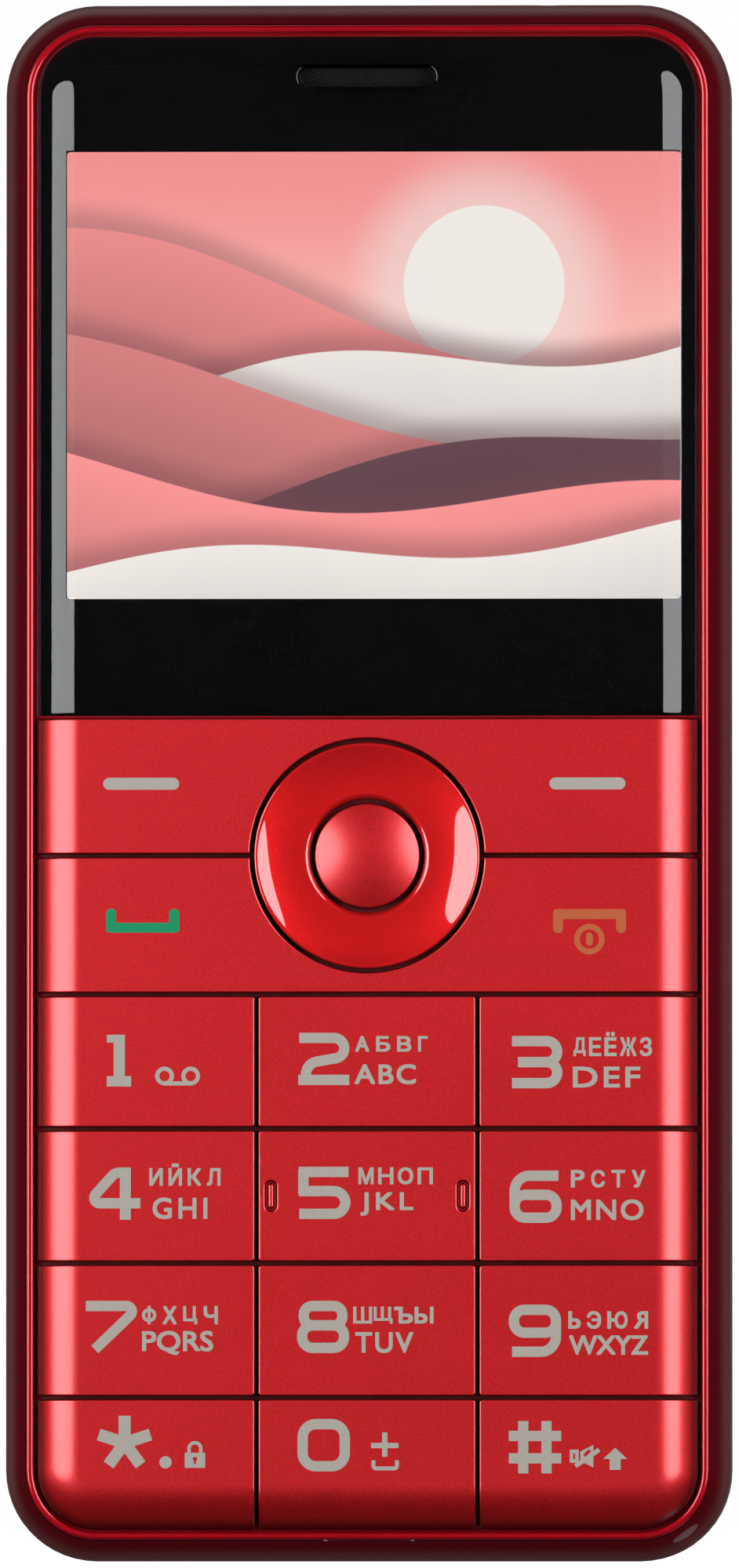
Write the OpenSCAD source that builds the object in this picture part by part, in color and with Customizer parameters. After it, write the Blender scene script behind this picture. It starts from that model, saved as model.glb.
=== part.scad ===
// Bar phone with a full-face keypad, as the separate pieces that it is assembled from.
// Every piece is drawn lying on its back: x to the right, y up the phone, z out of the front.
// stand_up() then stands it on its bottom end, with the front facing -Y.

/* [Body] */
// Width of the phone
body_w = 55.6; // [54:0.2:60]
// Height of the phone
body_h = 119.4; // [117:0.1:130]
// Thickness of the phone
body_t = 12; // [12:0.1:14]
// Corner radius of the outline, seen from the front
corner_r = 7; // [6.5:0.25:9]
// Radius of the long edges of the back
back_edge_r = 2.8; // [2:0.1:3]
// Radius of the rolled front edge of the side band
band_edge_r = 3.6; // [3:0.1:4]
// Width of the dark band, seen from the front
band_w = 1.6; // [1.2:0.1:1.8]
// Width of the bright bead ring inside the band
bead_w = 0.6; // [0.5:0.05:0.9]

/* [Front] */
// Width of the rolled shoulder of the lens and the keys
shoulder_w = 2.8; // [2.2:0.1:3]
// Radius of that shoulder
shoulder_r = 5; // [4.8:0.1:6]
// Angle in degrees by which the shoulder breaks away from the flat front
shoulder_break = 12; // [8:1:13]
// Radius of the blend between the flat front and the shoulder
shoulder_blend = 1.7; // [1:0.1:2.5]
// Width of the black border on each side of the picture
screen_border = 1.85; // [1.5:0.05:4]
// Offset of the picture to the right
screen_x = 0.45; // [0:0.05:0.5]
// Distance from the top of the phone to the picture
screen_top = 11.35; // [10.5:0.05:13]
// Height of the picture
screen_h = 34.3; // [28:0.1:35]
// Height of the black strip under the picture
chin_h = 9.1; // [8.5:0.1:11]
// Height of each of the two function rows
function_row_h = 10.63; // [10.2:0.01:11]
// How much lower the bottom row of keys is than the other number rows
foot_trim = 0.2; // [0:0.05:0.4]
// Distance from the top of the phone to the middle of the earpiece slot
slot_top = 5.7; // [5:0.1:6]
// Length of the earpiece slot
slot_w = 10.5; // [8:0.1:12]
// Width of the earpiece slot
slot_h = 1.5; // [1:0.1:2]

/* [Keys] */
// Thickness of the key caps
cap_t = 2; // [1.9:0.05:2.2]
// Chamfer on the edges of the key caps
cap_chamfer = 0.15; // [0.05:0.05:0.3]
// Corner radius of the key caps, seen from the front
cap_corner_r = 0.25; // [0.15:0.05:0.5]
// Travel of a key
key_travel = 0.3; // [0.2:0.05:0.3]
// Outer radius of the navigation ring
nav_r = 8.65; // [8:0.05:9]
// Radius of the middle button
ok_r = 4.05; // [3.6:0.05:4.3]
// Depth of the dish in the navigation ring
dish_depth = 0.55; // [0.3:0.05:0.6]
// Width of the ring's raised lip
lip_w = 0.2; // [0.2:0.05:0.4]

/* [Inside] */
// Height of the space above the battery, for the cards, camera and loudspeaker
top_zone = 37; // [36.5:0.5:42]
// Height of the space below the battery
bottom_zone = 24; // [23.5:0.5:30]
// Thickness of the battery cover's back
cover_t = 1.2; // [1:0.05:1.3]
// Radius of the bosses for the screws
boss_r = 1.7; // [1.5:0.1:2]

/* [Fits] */
// Gap between two keys, and between the keys and the lens
key_gap = 0.25; // [0.2:0.05:0.4]
// Gap between the keys and the bead ring
face_gap = 0.2; // [0.15:0.05:0.3]
// Gap round the navigation ring and round the middle button
nav_gap = 0.3; // [0.25:0.05:0.4]
// Clearance between two shells that nest
seam = 0.05; // [0.03:0.01:0.1]
// Clearance between the battery cover's lip and the rear housing
cover_fit = 0.2; // [0.15:0.05:0.3]
// Clearance round a part that drops into a pocket
pocket_fit = 0.2; // [0.1:0.05:0.3]

/* [Hidden] */
NUMBER_KEYS = ["key_1", "key_2", "key_3", "key_4", "key_5", "key_6",
    "key_7", "key_8", "key_9", "key_star", "key_0", "key_hash"];
$fn = 64;

// Colours of the pieces
candy_red = [0.42, 0.04, 0.07];
satin_red = [0.8, 0.17, 0.19];
gloss_red = [0.78, 0.1, 0.11];
inner_grey = [0.16, 0.16, 0.17];
board_green = [0.07, 0.24, 0.16];
tin = [0.74, 0.74, 0.72];
gold = [0.83, 0.66, 0.32];
black = [0.05, 0.05, 0.05];

// Insets of the nested outlines from the outer outline
shell_inset = band_w + seam;
bead_inset = shell_inset + bead_w;
face_inset = bead_inset + face_gap;
wall_t = 1;
inner_inset = shell_inset + wall_t;
face_half_w = body_w / 2 - face_inset;
face_w = 2 * face_half_w;
inner_half_w = body_w / 2 - inner_inset;
corner_x = body_w / 2 - corner_r;
screen_w = face_w - 2 * screen_border;
screen_y = body_h - screen_top - screen_h / 2;
lens_line = screen_y - screen_h / 2 - chin_h;

// Heights above the back, from the front inwards
under_cap = key_travel + 0.1;
mat_t = 0.3;
deck_t = 0.7;
dome_h = 0.3;
dome_gap = key_travel + 0.05;
board_t = 0.8;
floor_t = 0.7;
z_face = body_t;
z_cap = z_face - cap_t;
z_mat = z_cap - under_cap - mat_t;
z_deck = z_mat - deck_t;
z_plunger = z_deck - 0.05;
z_board_top = z_plunger - dome_gap - dome_h;
z_board = z_board_top - board_t;
z_floor_top = z_board - 0.1;
z_floor = z_floor_top - floor_t;
shoulder_out = shoulder_w + shoulder_r * sin(shoulder_break);
z_shoulder = z_face - shoulder_r * cos(shoulder_break);
blend_drop = z_face - shoulder_blend - z_shoulder;
blend_x = sqrt((shoulder_r - shoulder_blend) * (shoulder_r - shoulder_blend) - blend_drop * blend_drop);
blend_end = shoulder_r * blend_x / (shoulder_r - shoulder_blend);
z_bead = z_shoulder + sqrt(shoulder_r * shoulder_r - shoulder_out * shoulder_out) + 0.3;
z_band = z_bead - 0.2;
z_split = z_floor - 0.15;

// The lens and what is stacked behind it
lens_t = 2.2;
film_t = 0.1;
z_lens = z_face - lens_t;
z_mask = z_lens - film_t;
z_ledge = z_mask - film_t;
z_lcd_top = z_ledge - 0.05;
lcd_rim = 0.6;
lcd_head = 0.95;
lcd_foot = 4.75;
lcd_w = screen_w + 2 * lcd_rim;
lcd_h = screen_h + lcd_head + lcd_foot;
lcd_y = screen_y + (lcd_head - lcd_foot) / 2;
flex_w = 14;
z_lcd = z_board_top + 0.05;

// The battery cover and what is behind it
cover_lip_t = shell_inset - cover_fit;
z_seam = 2.8;
z_panel = cover_t + 0.4;
panel_t = 1;
z_panel_top = z_panel + panel_t;

// The screws, and the battery in the bay between them
screw_r = 0.65;
screw_head_r = 1.35;
screw_x = inner_half_w - boss_r - 0.15;
bay_wall = 0.8;
battery_gap = 0.3;
battery_w = 2 * (screw_x - boss_r - 0.1 - bay_wall - battery_gap);
battery_h = body_h - top_zone - bottom_zone;
battery_y = bottom_zone + battery_h / 2;
z_battery = cover_t + battery_gap;
z_battery_top = z_floor - 0.1;
screw_low = 16;
screw_mid = 11;
screw_top = 8.5;
screw_rows = [bottom_zone - screw_low, battery_y + screw_mid, body_h - screw_top];
screw_points = [for (s = [-1, 1], y = screw_rows) [s * screw_x, y]];

// Rows and columns of the keypad
nav_y = lens_line - function_row_h;
rows_top = lens_line - 2 * function_row_h;
row_h = (rows_top - face_inset + foot_trim) / 4;
column_w = face_w / 3;
nav_hole_r = nav_r + nav_gap;
ok_hole_r = ok_r + nav_gap;
ring_t = 1.3;
ring_edge_r = 0.45;
lip_edge_r = 0.15;
rubber_t = 0.25;
rubber_gap = 0.3;
z_ring = z_face - ring_t;
z_rubber = z_ring - rubber_gap - rubber_t;

// Plungers under the caps, as [x, y, radius]
plunger_r = 0.9;
plunger_fit = 0.25;
nav_plunger_r = 0.7;
nav_reach = (nav_r + ok_r) / 2;
bar_x = column_w;
function number_x(i) = (i % 3 - 1) * column_w;
function number_y(i) = rows_top - (floor(i / 3) + 0.5) * row_h;
number_plungers = [for (i = [0:11]) [number_x(i), number_y(i), plunger_r]];
soft_plungers = [for (s = [-1, 1]) [s * bar_x, nav_y + function_row_h / 2, plunger_r]];
call_plungers = [for (s = [-1, 1]) [s * bar_x, nav_y - function_row_h / 2, plunger_r]];
nav_plungers = [for (a = [0:90:270]) [nav_reach * cos(a), nav_y + nav_reach * sin(a), nav_plunger_r]];
ok_plungers = [[0, nav_y, plunger_r]];
plungers = concat(number_plungers, soft_plungers, call_plungers, nav_plungers, ok_plungers);

// The half-round ribs that the rockers and the ring tilt on
fulcrum_r = 0.3;
fulcrum_l = 0.8;

// What is mounted at the two ends and on the back of the board, with its distance in from the side wall
jack_in = 11.35;
jack_x = inner_half_w - jack_in;
jack_bore_r = 1.8;
jack_nose_r = 2.25;
jack_w = 6.2;
jack_h = 4.4;
jack_l = 14;
jack_down = 1.45;
z_jack = z_board - jack_down;
usb_w = 7.6;
usb_h = 2.7;
usb_l = 5.8;
z_usb = z_board - usb_h / 2 - 0.05;
mic_in = 7.2;
mic_x = usb_w / 2 + mic_in;
mic_r = 1.6;
top_row = 15;
top_y = body_h - top_row;
slot_y = body_h - slot_top;
end_y = body_h - inner_inset;
speaker_r = 6.2;
speaker_h = 3.6;
speaker_in = 10.65;
speaker_x = -inner_half_w + speaker_in;
speaker_slot = 0.8;
speaker_pitch = 1.7;
camera_r = 4.05;
camera_w = 8.4;
receiver_w = 13;
receiver_h = 6;
board_edge = 0.4;
board_y0 = inner_inset + 0.6;
board_top = 9.2;
board_y1 = body_h - board_top;
sim_w = 16.6;
sim_h = 13.4;
sim_in = 12.75;
sim_up = 9.6;
sim_x = inner_half_w - sim_in;
sim_y = body_h - top_zone + sim_up;
sim_window_w = 2 * sim_x + sim_w + 2;
card_w = 13.6;
card_h = 13;
card_in = 11.65;
card_down = 10;
card_x = -inner_half_w + card_in;
card_y = bottom_zone - card_down;
holder_t = 1.8;
contacts_w = 11;
shield_w = 12;
shield_h = 5.4;
shield_t = 1.7;
shield_in = 11.65;
shield_down = 12.6;
shield_x = inner_half_w - shield_in;
shield_y = bottom_zone - shield_down;
motor_r = 2.1;
motor_l = 7;
motor_in = 16.15;
motor_down = 5.6;
motor_x = inner_half_w - motor_in;
motor_y = bottom_zone - motor_down;
antenna_w = 15;
antenna_h = 2.8;
antenna_in = 10.95;
antenna_t = 3.6;
antenna_x = -inner_half_w + antenna_in;

// Plain shapes

// A rounded rectangle about the origin
module rounded(w, h, r) {
    square([w - 2 * r, h], center = true);
    square([w, h - 2 * r], center = true);
    for (sx = [-1, 1], sy = [-1, 1])
        translate([sx * (w / 2 - r), sy * (h / 2 - r)]) circle(r);
}

// A plate with rounded corners, from the height z up by t
module plate(x, y, z, w, h, t, r = 0.5) {
    translate([x, y, z]) linear_extrude(t) rounded(w, h, r);
}

// A plain block, centred across x and y
module block(x, y, z, w, h, t) {
    translate([x - w / 2, y - h / 2, z]) cube([w, h, t]);
}

// The outline of the phone, moved in by an inset and raised from z by t
module slab(inset, z, t) {
    plate(0, body_h / 2, z, body_w - 2 * inset, body_h - 2 * inset, t, corner_r - inset);
}

// A profile carried round the outline: its x runs outwards from the corner's centre, its y is the height
module sweep() {
    for (q = [0:3])
        translate([(q == 0 || q == 3) ? corner_x : -corner_x, q < 2 ? body_h - corner_r : corner_r, 0])
            rotate([0, 0, 90 * q]) {
                rotate_extrude(angle = 90) children();
                rotate([90, 0, 0]) linear_extrude((q % 2 == 0 ? body_h : body_w) - 2 * corner_r) children();
            }
}

// The same, filled in the middle from z up by t
module filled_sweep(z, t) {
    sweep() children();
    block(0, body_h / 2, z, 2 * corner_x, body_h - 2 * corner_r, t);
}

// A profile from the axis out to u, from z0 to z1, with its top outer edge rolled over
module rolled_top(u, z0, z1, w, r) {
    square_to(0, z0, u - w, z1);
    intersection() {
        square_to(u - w, z0, u, z1);
        translate([u - w, z1 - r]) circle(r);
    }
    square_to(u - w, z0, u, z1 - r);
}

// The same with its bottom outer edge rolled to a quarter circle
module rolled_bottom(u, z0, z1, r) {
    square_to(0, z0, u - r, z1);
    intersection() {
        square_to(u - r, z0, u, z0 + r);
        translate([u - r, z0 + r]) circle(r);
    }
    square_to(u - r, z0 + r, u, z1);
}

// The profile of a recess from the axis out to u, with its mouth at z1 flared by a rounding of radius r
module flared(u, z0, z1, r) {
    square_to(0, z0, u, z0 + z1);
    difference() {
        square_to(u, z1 - r, u + r, z0 + z1);
        translate([u + r, z1 - r]) circle(r);
    }
}

// A rectangle given by two of its corners
module square_to(x0, y0, x1, y1) {
    if (x1 > x0 && y1 > y0)
        translate([x0, y0]) square([x1 - x0, y1 - y0]);
}

// The pillow-shaped front that the lens and all the keys are cut from, down to the height z
module pillow(z) {
    filled_sweep(z, z_face - z) shoulder(corner_r - face_inset, z);
}

// Its profile: flat on top, then a small blend into a shoulder that rolls down to the edge
module shoulder(u, z) {
    x = u - shoulder_out;
    difference() {
        square_to(0, z, u, z_face);
        difference() {
            square_to(x + blend_end, z_shoulder, u + 1, z_face + 1);
            translate([x, z_shoulder]) circle(shoulder_r, $fn = 128);
        }
        difference() {
            square_to(x + blend_x, z_face - shoulder_blend, x + blend_end, z_face + 1);
            translate([x + blend_x, z_face - shoulder_blend]) circle(shoulder_blend, $fn = 128);
        }
    }
}

// One cell of the front between two corners, with its upper edges chamfered
module cell(x0, y0, x1, y1, z) {
    c = cap_chamfer;
    intersection() {
        plate((x0 + x1) / 2, (y0 + y1) / 2, z, x1 - x0, y1 - y0, z_face - z, cap_corner_r);
        translate([0, y1, 0]) rotate([90, 0, 0]) linear_extrude(y1 - y0)
            polygon([[x0, z], [x0, z_face - c], [x0 + c, z_face], [x1 - c, z_face], [x1, z_face - c], [x1, z]]);
        translate([x0, 0, 0]) rotate([90, 0, 90]) linear_extrude(x1 - x0)
            polygon([[y0, z], [y0, z_face - c], [y0 + c, z_face], [y1 - c, z_face], [y1, z_face - c], [y1, z]]);
    }
}

// A cap cut from the pillow, with its plungers
module cap(x0, y0, x1, y1, points) {
    intersection() {
        pillow(z_cap);
        cell(x0, y0, x1, y1, z_cap);
    }
    pins(points, z_plunger, z_cap - z_plunger, 0);
}

// Round pins or holes at a list of plungers
module pins(points, z, t, fit) {
    for (p = points)
        translate([p[0], p[1], z]) cylinder(r = p[2] + fit, h = t);
}

// A slot with round ends along x or y
module capsule(x, y, z, w, h, t) {
    plate(x, y, z, w, h, t, min(w, h) / 2 - 0.001);
}

module screw_holes(z, t, r) {
    for (p = screw_points)
        translate([p[0], p[1], z]) cylinder(r = r, h = t);
}

// The openings for the two sockets and the microphone, cut through every shell at the ends
module end_openings() {
    translate([jack_x, body_h + 1, z_jack]) rotate([90, 0, 0]) cylinder(r = jack_nose_r + 0.1, h = 8);
    translate([0, -1, z_usb]) rotate([-90, 0, 0]) mirror([0, 1, 0])
        linear_extrude(8) rounded(usb_w + 0.5, usb_h + 0.4, 0.8);
    translate([mic_x, -1, z_usb]) rotate([-90, 0, 0]) cylinder(r = 0.5, h = 8);
}

// Casing

module front_housing() color(satin_red) {
    z0 = z_split + 0.1;
    u = corner_r - shell_inset;
    bead_r = bead_w * 0.4;
    difference() {
        union() {
            difference() {
                filled_sweep(z0, z_bead - z0) rolled_top(u, z0, z_bead, bead_r, bead_r);
                filled_sweep(z_mat, z_bead) flared(u - bead_w, z_mat, z_bead, bead_r);
                slab(inner_inset, z0 - 1, z_deck - z0 + 1);
            }
            lens_ledge();
            screw_holes(z0, z_deck - z0 + 0.2, boss_r);
        }
        pins(plungers, z_deck - 1, deck_t + 2, plunger_fit);
        plate(screen_x, lcd_y, z_deck - 1, lcd_w + 2 * pocket_fit, lcd_h + 2 * pocket_fit, 4, 0.3);
        capsule(0, slot_y, z_deck - 1, slot_w - 1, slot_h, 4);
        screw_holes(z_split, z_deck - z_split - 0.4, screw_r + 0.05);
        end_openings();
    }
}

// The raised rim that the lens is taped to
module lens_ledge() {
    intersection() {
        slab(face_inset + 0.15, z_mat, z_ledge - z_mat);
        block(0, (lens_line + body_h) / 2 + 0.3, z_mat, body_w, body_h - lens_line, 3);
    }
}

module side_frame() color(candy_red) {
    u = corner_r;
    rise = sqrt(band_edge_r * band_edge_r - (band_edge_r - band_w) * (band_edge_r - band_w));
    difference() {
        sweep() {
            square_to(u - band_w, z_seam, u, z_band - rise);
            intersection() {
                square_to(u - band_w, z_band - rise, u, z_band);
                translate([u - band_edge_r, z_band - rise]) circle(band_edge_r);
            }
        }
        end_openings();
    }
}

module rear_housing() color(inner_grey) {
    u = corner_r - shell_inset;
    bay_w = battery_w + 2 * battery_gap;
    bay_h = battery_h + 2 * battery_gap;
    difference() {
        union() {
            slab(inner_inset, z_panel, panel_t);
            sweep() polygon([[u - 1.6, z_panel], [u - 0.9, z_panel], [u, z_panel + 0.9], [u, z_split],
                [u - wall_t, z_split], [u - wall_t, z_panel_top + 0.4], [u - 1.6, z_panel_top]]);
            block(0, battery_y, z_panel, bay_w + 2 * bay_wall, bay_h + 2 * bay_wall, z_floor_top - z_panel);
            screw_holes(z_panel, z_split - z_panel, boss_r + 0.2);
        }
        block(0, battery_y, z_panel - 1, bay_w, bay_h, z_floor - z_panel + 1);
        // Windows for the card holders, the camera and the battery's contacts
        plate(0, sim_y, z_panel - 1, sim_window_w, sim_h + 1, panel_t + 2, 1);
        plate(card_x, card_y, z_panel - 1, card_w + 1, card_h + 1, panel_t + 2, 1);
        translate([0, top_y, z_panel - 1]) cylinder(r = 3.4, h = panel_t + 2);
        block(0, battery_y - bay_h / 2, z_floor - 3.2, contacts_w + 0.6, 4, 6);
        // Sound holes over the loudspeaker
        for (a = [0:60:300], r = [0, 2, 4])
            translate([speaker_x + r * cos(a), top_y + r * sin(a), z_panel - 1]) cylinder(r = 0.5, h = panel_t + 2);
        screw_holes(z_panel - 1, z_split, screw_r + 0.2);
        screw_holes(z_panel - 1, 2, screw_head_r + 0.15);
        end_openings();
    }
}

module battery_cover() color(candy_red) {
    inner_u = corner_r - cover_lip_t;
    inner_r = back_edge_r - cover_t;
    difference() {
        filled_sweep(0, z_seam) rolled_bottom(corner_r, 0, z_seam, back_edge_r);
        filled_sweep(cover_t, z_seam) rolled_bottom(inner_u, cover_t, z_seam + cover_t, inner_r);
        // Stepped seat of the camera's window
        translate([0, top_y, -1]) cylinder(r = camera_r + 0.05, h = 1.9);
        translate([0, top_y, -1]) cylinder(r = camera_r - 0.8, h = 4);
        // Sound slots
        for (i = [-2:2])
            capsule(speaker_x, top_y + i * speaker_pitch, -1, speaker_r + 2.2 - 1.2 * abs(i), speaker_slot, 4);
        // Notch for a fingernail in the lower corner
        translate([0, 0, z_seam]) rotate([-90, 0, 0]) translate([-corner_x + 2.5, 0, -1]) cylinder(r = 0.7, h = 2.2);
    }
    // Fingers that locate the cover in the rear housing's windows
    for (s = [-1, 1])
        block(s * (sim_x - 3), sim_y - sim_h / 2 + 0.2, cover_t - 0.1, 5, 0.8, 1.5);
}

module housing_screws() color(tin)
    for (p = screw_points)
        translate([p[0], p[1], 0]) {
            difference() {
                translate([0, 0, z_panel]) cylinder(r = screw_head_r, h = 1);
                translate([0, 0, z_panel - 1]) cylinder(r = 0.5, h = 1.5, $fn = 6);
            }
            translate([0, 0, z_panel + 0.9]) cylinder(r = screw_r, h = z_deck - 0.7 - z_panel - 0.9);
        }

// Display

// Everything of a piece that lies above the lens line
module above_line(gap) {
    intersection() {
        children();
        block(0, lens_line + gap / 2 + body_h / 2, 0, body_w, body_h, 2 * body_t);
    }
}

module display_lens() color(black, 0.6) difference() {
    intersection() {
        pillow(z_lens);
        cell(-body_w / 2 - 1, lens_line + key_gap / 2, body_w / 2 + 1, body_h + 1, z_lens);
    }
    capsule(0, slot_y, z_lens - 1, slot_w, slot_h, 4);
}

module lens_mask() color(black) difference() {
    above_line(key_gap + 0.2) slab(face_inset + 0.1, z_mask, film_t);
    plate(screen_x, screen_y, z_mask - 1, screen_w, screen_h, 2, 0.3);
    capsule(0, slot_y, z_mask - 1, slot_w, slot_h, 2);
}

module lens_tape() color(inner_grey) difference() {
    above_line(key_gap + 0.8) slab(face_inset + 0.3, z_ledge, film_t);
    plate(screen_x, lcd_y, z_ledge - 1, lcd_w + 2 * pocket_fit, lcd_h + 2 * pocket_fit, 2, 0.3);
    capsule(0, slot_y, z_ledge - 1, slot_w, slot_h, 2);
}

module lcd_frame() color([0.9, 0.9, 0.9]) difference() {
    plate(screen_x, lcd_y, z_lcd, lcd_w, lcd_h, z_lcd_top - z_lcd, 0.4);
    plate(screen_x, lcd_y, z_lcd + 0.6, lcd_w - 0.8, lcd_h - 0.8, 4, 0.2);
}

module lcd_panel() color([0.85, 0.55, 0.55])
    plate(screen_x, lcd_y, z_lcd + 0.6, lcd_w - 0.9, lcd_h - 0.9, z_lcd_top - z_lcd - 0.6, 0.2);

module lcd_flex() color(gold) {
    y = lcd_y - lcd_h / 2;
    block(screen_x, y - 1.3, z_lcd, flex_w, 2.5, 0.15);
    block(screen_x, y - 2.6, z_lcd - 0.04, flex_w - 4, 0.4, 0.4);
}

module earpiece_mesh() color([0.25, 0.25, 0.26]) difference() {
    capsule(0, slot_y, z_lens + 0.6, slot_w - 0.1, slot_h - 0.1, 0.2);
    for (i = [-6:6], j = [-1, 1])
        translate([i * slot_w / 15, slot_y + j * slot_h / 5, z_lens]) cylinder(r = 0.2, h = 2);
}

module earpiece_receiver() color(inner_grey) {
    y = end_y - receiver_h / 2 - 0.2;
    plate(0, y, z_deck - 2.7, receiver_w, receiver_h, 2.3, 1.2);
    plate(0, y, z_deck - 0.4, receiver_w - 2, receiver_h - 1.6, 0.35, 1);
}

// Keypad

// A number key, counted from the top left
module number_key(i) color(satin_red) {
    column = i % 3;
    row = floor(i / 3);
    top = rows_top - row * row_h - key_gap / 2;
    x0 = column == 0 ? -body_w / 2 - 1 : (column - 1.5) * column_w + key_gap / 2;
    x1 = column == 2 ? body_w / 2 + 1 : (column - 0.5) * column_w - key_gap / 2;
    y0 = row == 3 ? -1 : top - row_h + key_gap;
    difference() {
        cap(x0, y0, x1, top, [number_plungers[i]]);
        if (i == 4)
            for (s = [-1, 1])
                touch_mark(s * (column_w / 2 - 1.1), number_y(i));
    }
}

// A grooved mark on the middle key, for finding it by touch
module touch_mark(x, y) difference() {
    capsule(x, y, z_face - 0.2, 0.85, 2.3, 1);
    capsule(x, y, z_face - 1, 0.45, 1.9, 3);
}

// A rocker across the whole face, from y0 to y1, cut away round the navigation ring
module key_bar(y0, y1, points) color(satin_red) difference() {
    union() {
        cap(-body_w / 2 - 1, y0 + key_gap / 2, body_w / 2 + 1, y1 - key_gap / 2, points);
        translate([0, y1 - key_gap, z_cap]) rotate([90, 0, 0]) cylinder(r = fulcrum_r, h = y1 - y0 - 2 * key_gap);
    }
    translate([0, nav_y, z_cap - 1]) cylinder(r = nav_hole_r, h = 5);
    translate([0, nav_y, z_face - cap_chamfer])
        cylinder(r1 = nav_hole_r, r2 = nav_hole_r + 2 * cap_chamfer, h = 2 * cap_chamfer);
}

module soft_key_bar() key_bar(nav_y, lens_line, soft_plungers);

module call_key_bar() key_bar(rows_top, nav_y, call_plungers);

// A dished ring with a raised lip, rolled over at its outer edge and round the middle button
module nav_ring() color(gloss_red) {
    flat_r = ok_hole_r + ring_edge_r;
    reach = nav_r - lip_w - flat_r;
    dish_r = (reach * reach + dish_depth * dish_depth) / (2 * dish_depth);
    z_dish = z_face - dish_depth;
    translate([0, nav_y, 0]) rotate_extrude() difference() {
        square_to(ok_hole_r, z_ring, nav_r, z_face);
        translate([flat_r, z_dish + dish_r]) circle(dish_r, $fn = 256);
        difference() {
            square_to(0, z_dish - ring_edge_r, flat_r, z_face + 1);
            translate([flat_r, z_dish - ring_edge_r]) circle(ring_edge_r);
        }
        difference() {
            square_to(nav_r - lip_edge_r, z_face - lip_edge_r, nav_r + 1, z_face + 1);
            translate([nav_r - lip_edge_r, z_face - lip_edge_r]) circle(lip_edge_r);
        }
    }
    pins(nav_plungers, z_plunger, z_ring - z_plunger, 0);
}

// The rubber pad that the ring tilts on
module nav_rubber() color(inner_grey) difference() {
    union() {
        translate([0, nav_y, z_rubber]) difference() {
            cylinder(r = nav_r - 0.35, h = rubber_t);
            translate([0, 0, -1]) cylinder(r = ok_hole_r + 0.2, h = rubber_t + 2);
        }
        nav_ribs();
    }
    pins(nav_plungers, z_rubber - 1, rubber_t + 2, plunger_fit);
}

// Half-round ribs on the pad: a pair across it underneath, and a pair up it on top
module nav_ribs() {
    for (s = [-1, 1]) {
        translate([s * (nav_r - 0.8) - fulcrum_l / 2, nav_y, z_rubber]) rotate([0, 90, 0])
            cylinder(r = fulcrum_r, h = fulcrum_l);
        translate([0, nav_y + s * (nav_r - 0.8) + fulcrum_l / 2, z_rubber + rubber_t]) rotate([90, 0, 0])
            cylinder(r = fulcrum_r - 0.05, h = fulcrum_l);
    }
}

// A domed button
module ok_button() color(satin_red) {
    dome_rise = 0.6;
    dome_r = (ok_r * ok_r + dome_rise * dome_rise) / (2 * dome_rise);
    z_dome = z_face - 0.15;
    translate([0, nav_y, 0]) rotate_extrude() intersection() {
        square_to(0, z_cap, ok_r, z_dome);
        translate([0, z_dome - dome_r]) circle(dome_r, $fn = 256);
    }
    pins(ok_plungers, z_plunger, z_cap - z_plunger, 0);
}

module keypad_mat() color([0.3, 0.3, 0.32]) difference() {
    intersection() {
        slab(face_inset + 0.4, z_mat, mat_t);
        block(0, lens_line / 2, z_mat, body_w, lens_line - 0.6, 1);
    }
    pins(plungers, z_mat - 1, mat_t + 2, plunger_fit);
}

// Snap domes, one under every plunger
module metal_domes() color(tin)
    for (p = plungers)
        translate([p[0], p[1], z_board_top]) metal_dome(p[2] + 0.9);

module metal_dome(r) {
    big = (r * r + dome_h * dome_h) / (2 * dome_h);
    rotate_extrude() intersection() {
        square_to(0, 0, r, dome_h);
        translate([0, dome_h - big]) difference() {
            circle(big, $fn = 128);
            circle(big - 0.1, $fn = 128);
        }
    }
}

// Inside

module main_board() color(board_green) difference() {
    plate(0, (board_y0 + board_y1) / 2, z_board, 2 * (inner_half_w - board_edge), board_y1 - board_y0, board_t, 3.5);
    screw_holes(z_board - 1, 4, boss_r + 0.3);
    block(jack_x, board_y1, z_board - 1, jack_w + 0.8, 16, 4);
}

// A thin metal lid, open towards the board
module shield_can() color(tin) difference() {
    plate(shield_x, shield_y, z_board - shield_t, shield_w, shield_h, shield_t, 0.5);
    plate(shield_x, shield_y, z_board - shield_t + 0.2, shield_w - 0.4, shield_h - 0.4, 2, 0.4);
}

module battery() color([0.35, 0.36, 0.38])
    plate(0, battery_y, z_battery, battery_w, battery_h, z_battery_top - z_battery, 1.2);

// A block with three spring tips that reach for the battery's end
module battery_contacts() color(gold) {
    y = battery_y - battery_h / 2;
    block(0, y - 2.9, z_board - 3.4, contacts_w - 0.6, 3, 3.4);
    for (i = [-1:1])
        block(3 * i, y - 0.75, z_board - 2.6, 1.2, 1.4, 0.5);
}

// A tray with a slot for a card, on the back of the board
module holder(x, y, w, h) color(tin) difference() {
    plate(x, y, z_board - holder_t, w, h, holder_t, 0.4);
    block(x, y + 1, z_board - holder_t + 0.3, w - 1.2, h, holder_t / 2);
    plate(x, y + h / 4, z_board - 3, w - 5, h / 2, 2, 0.5);
}

module sim_holder_left() holder(-sim_x, sim_y, sim_w, sim_h);

module sim_holder_right() holder(sim_x, sim_y, sim_w, sim_h);

module card_holder() holder(card_x, card_y, card_w, card_h);

module camera_module() color(black) {
    block(0, top_y, z_panel_top + 0.2, camera_w, camera_w, z_board - z_panel_top - 0.2);
    translate([0, top_y, cover_t + 0.15]) difference() {
        cylinder(r = 3, h = 2);
        translate([0, 0, -1]) cylinder(r1 = 2.6, r2 = 1.2, h = 1.8);
    }
}

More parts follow.
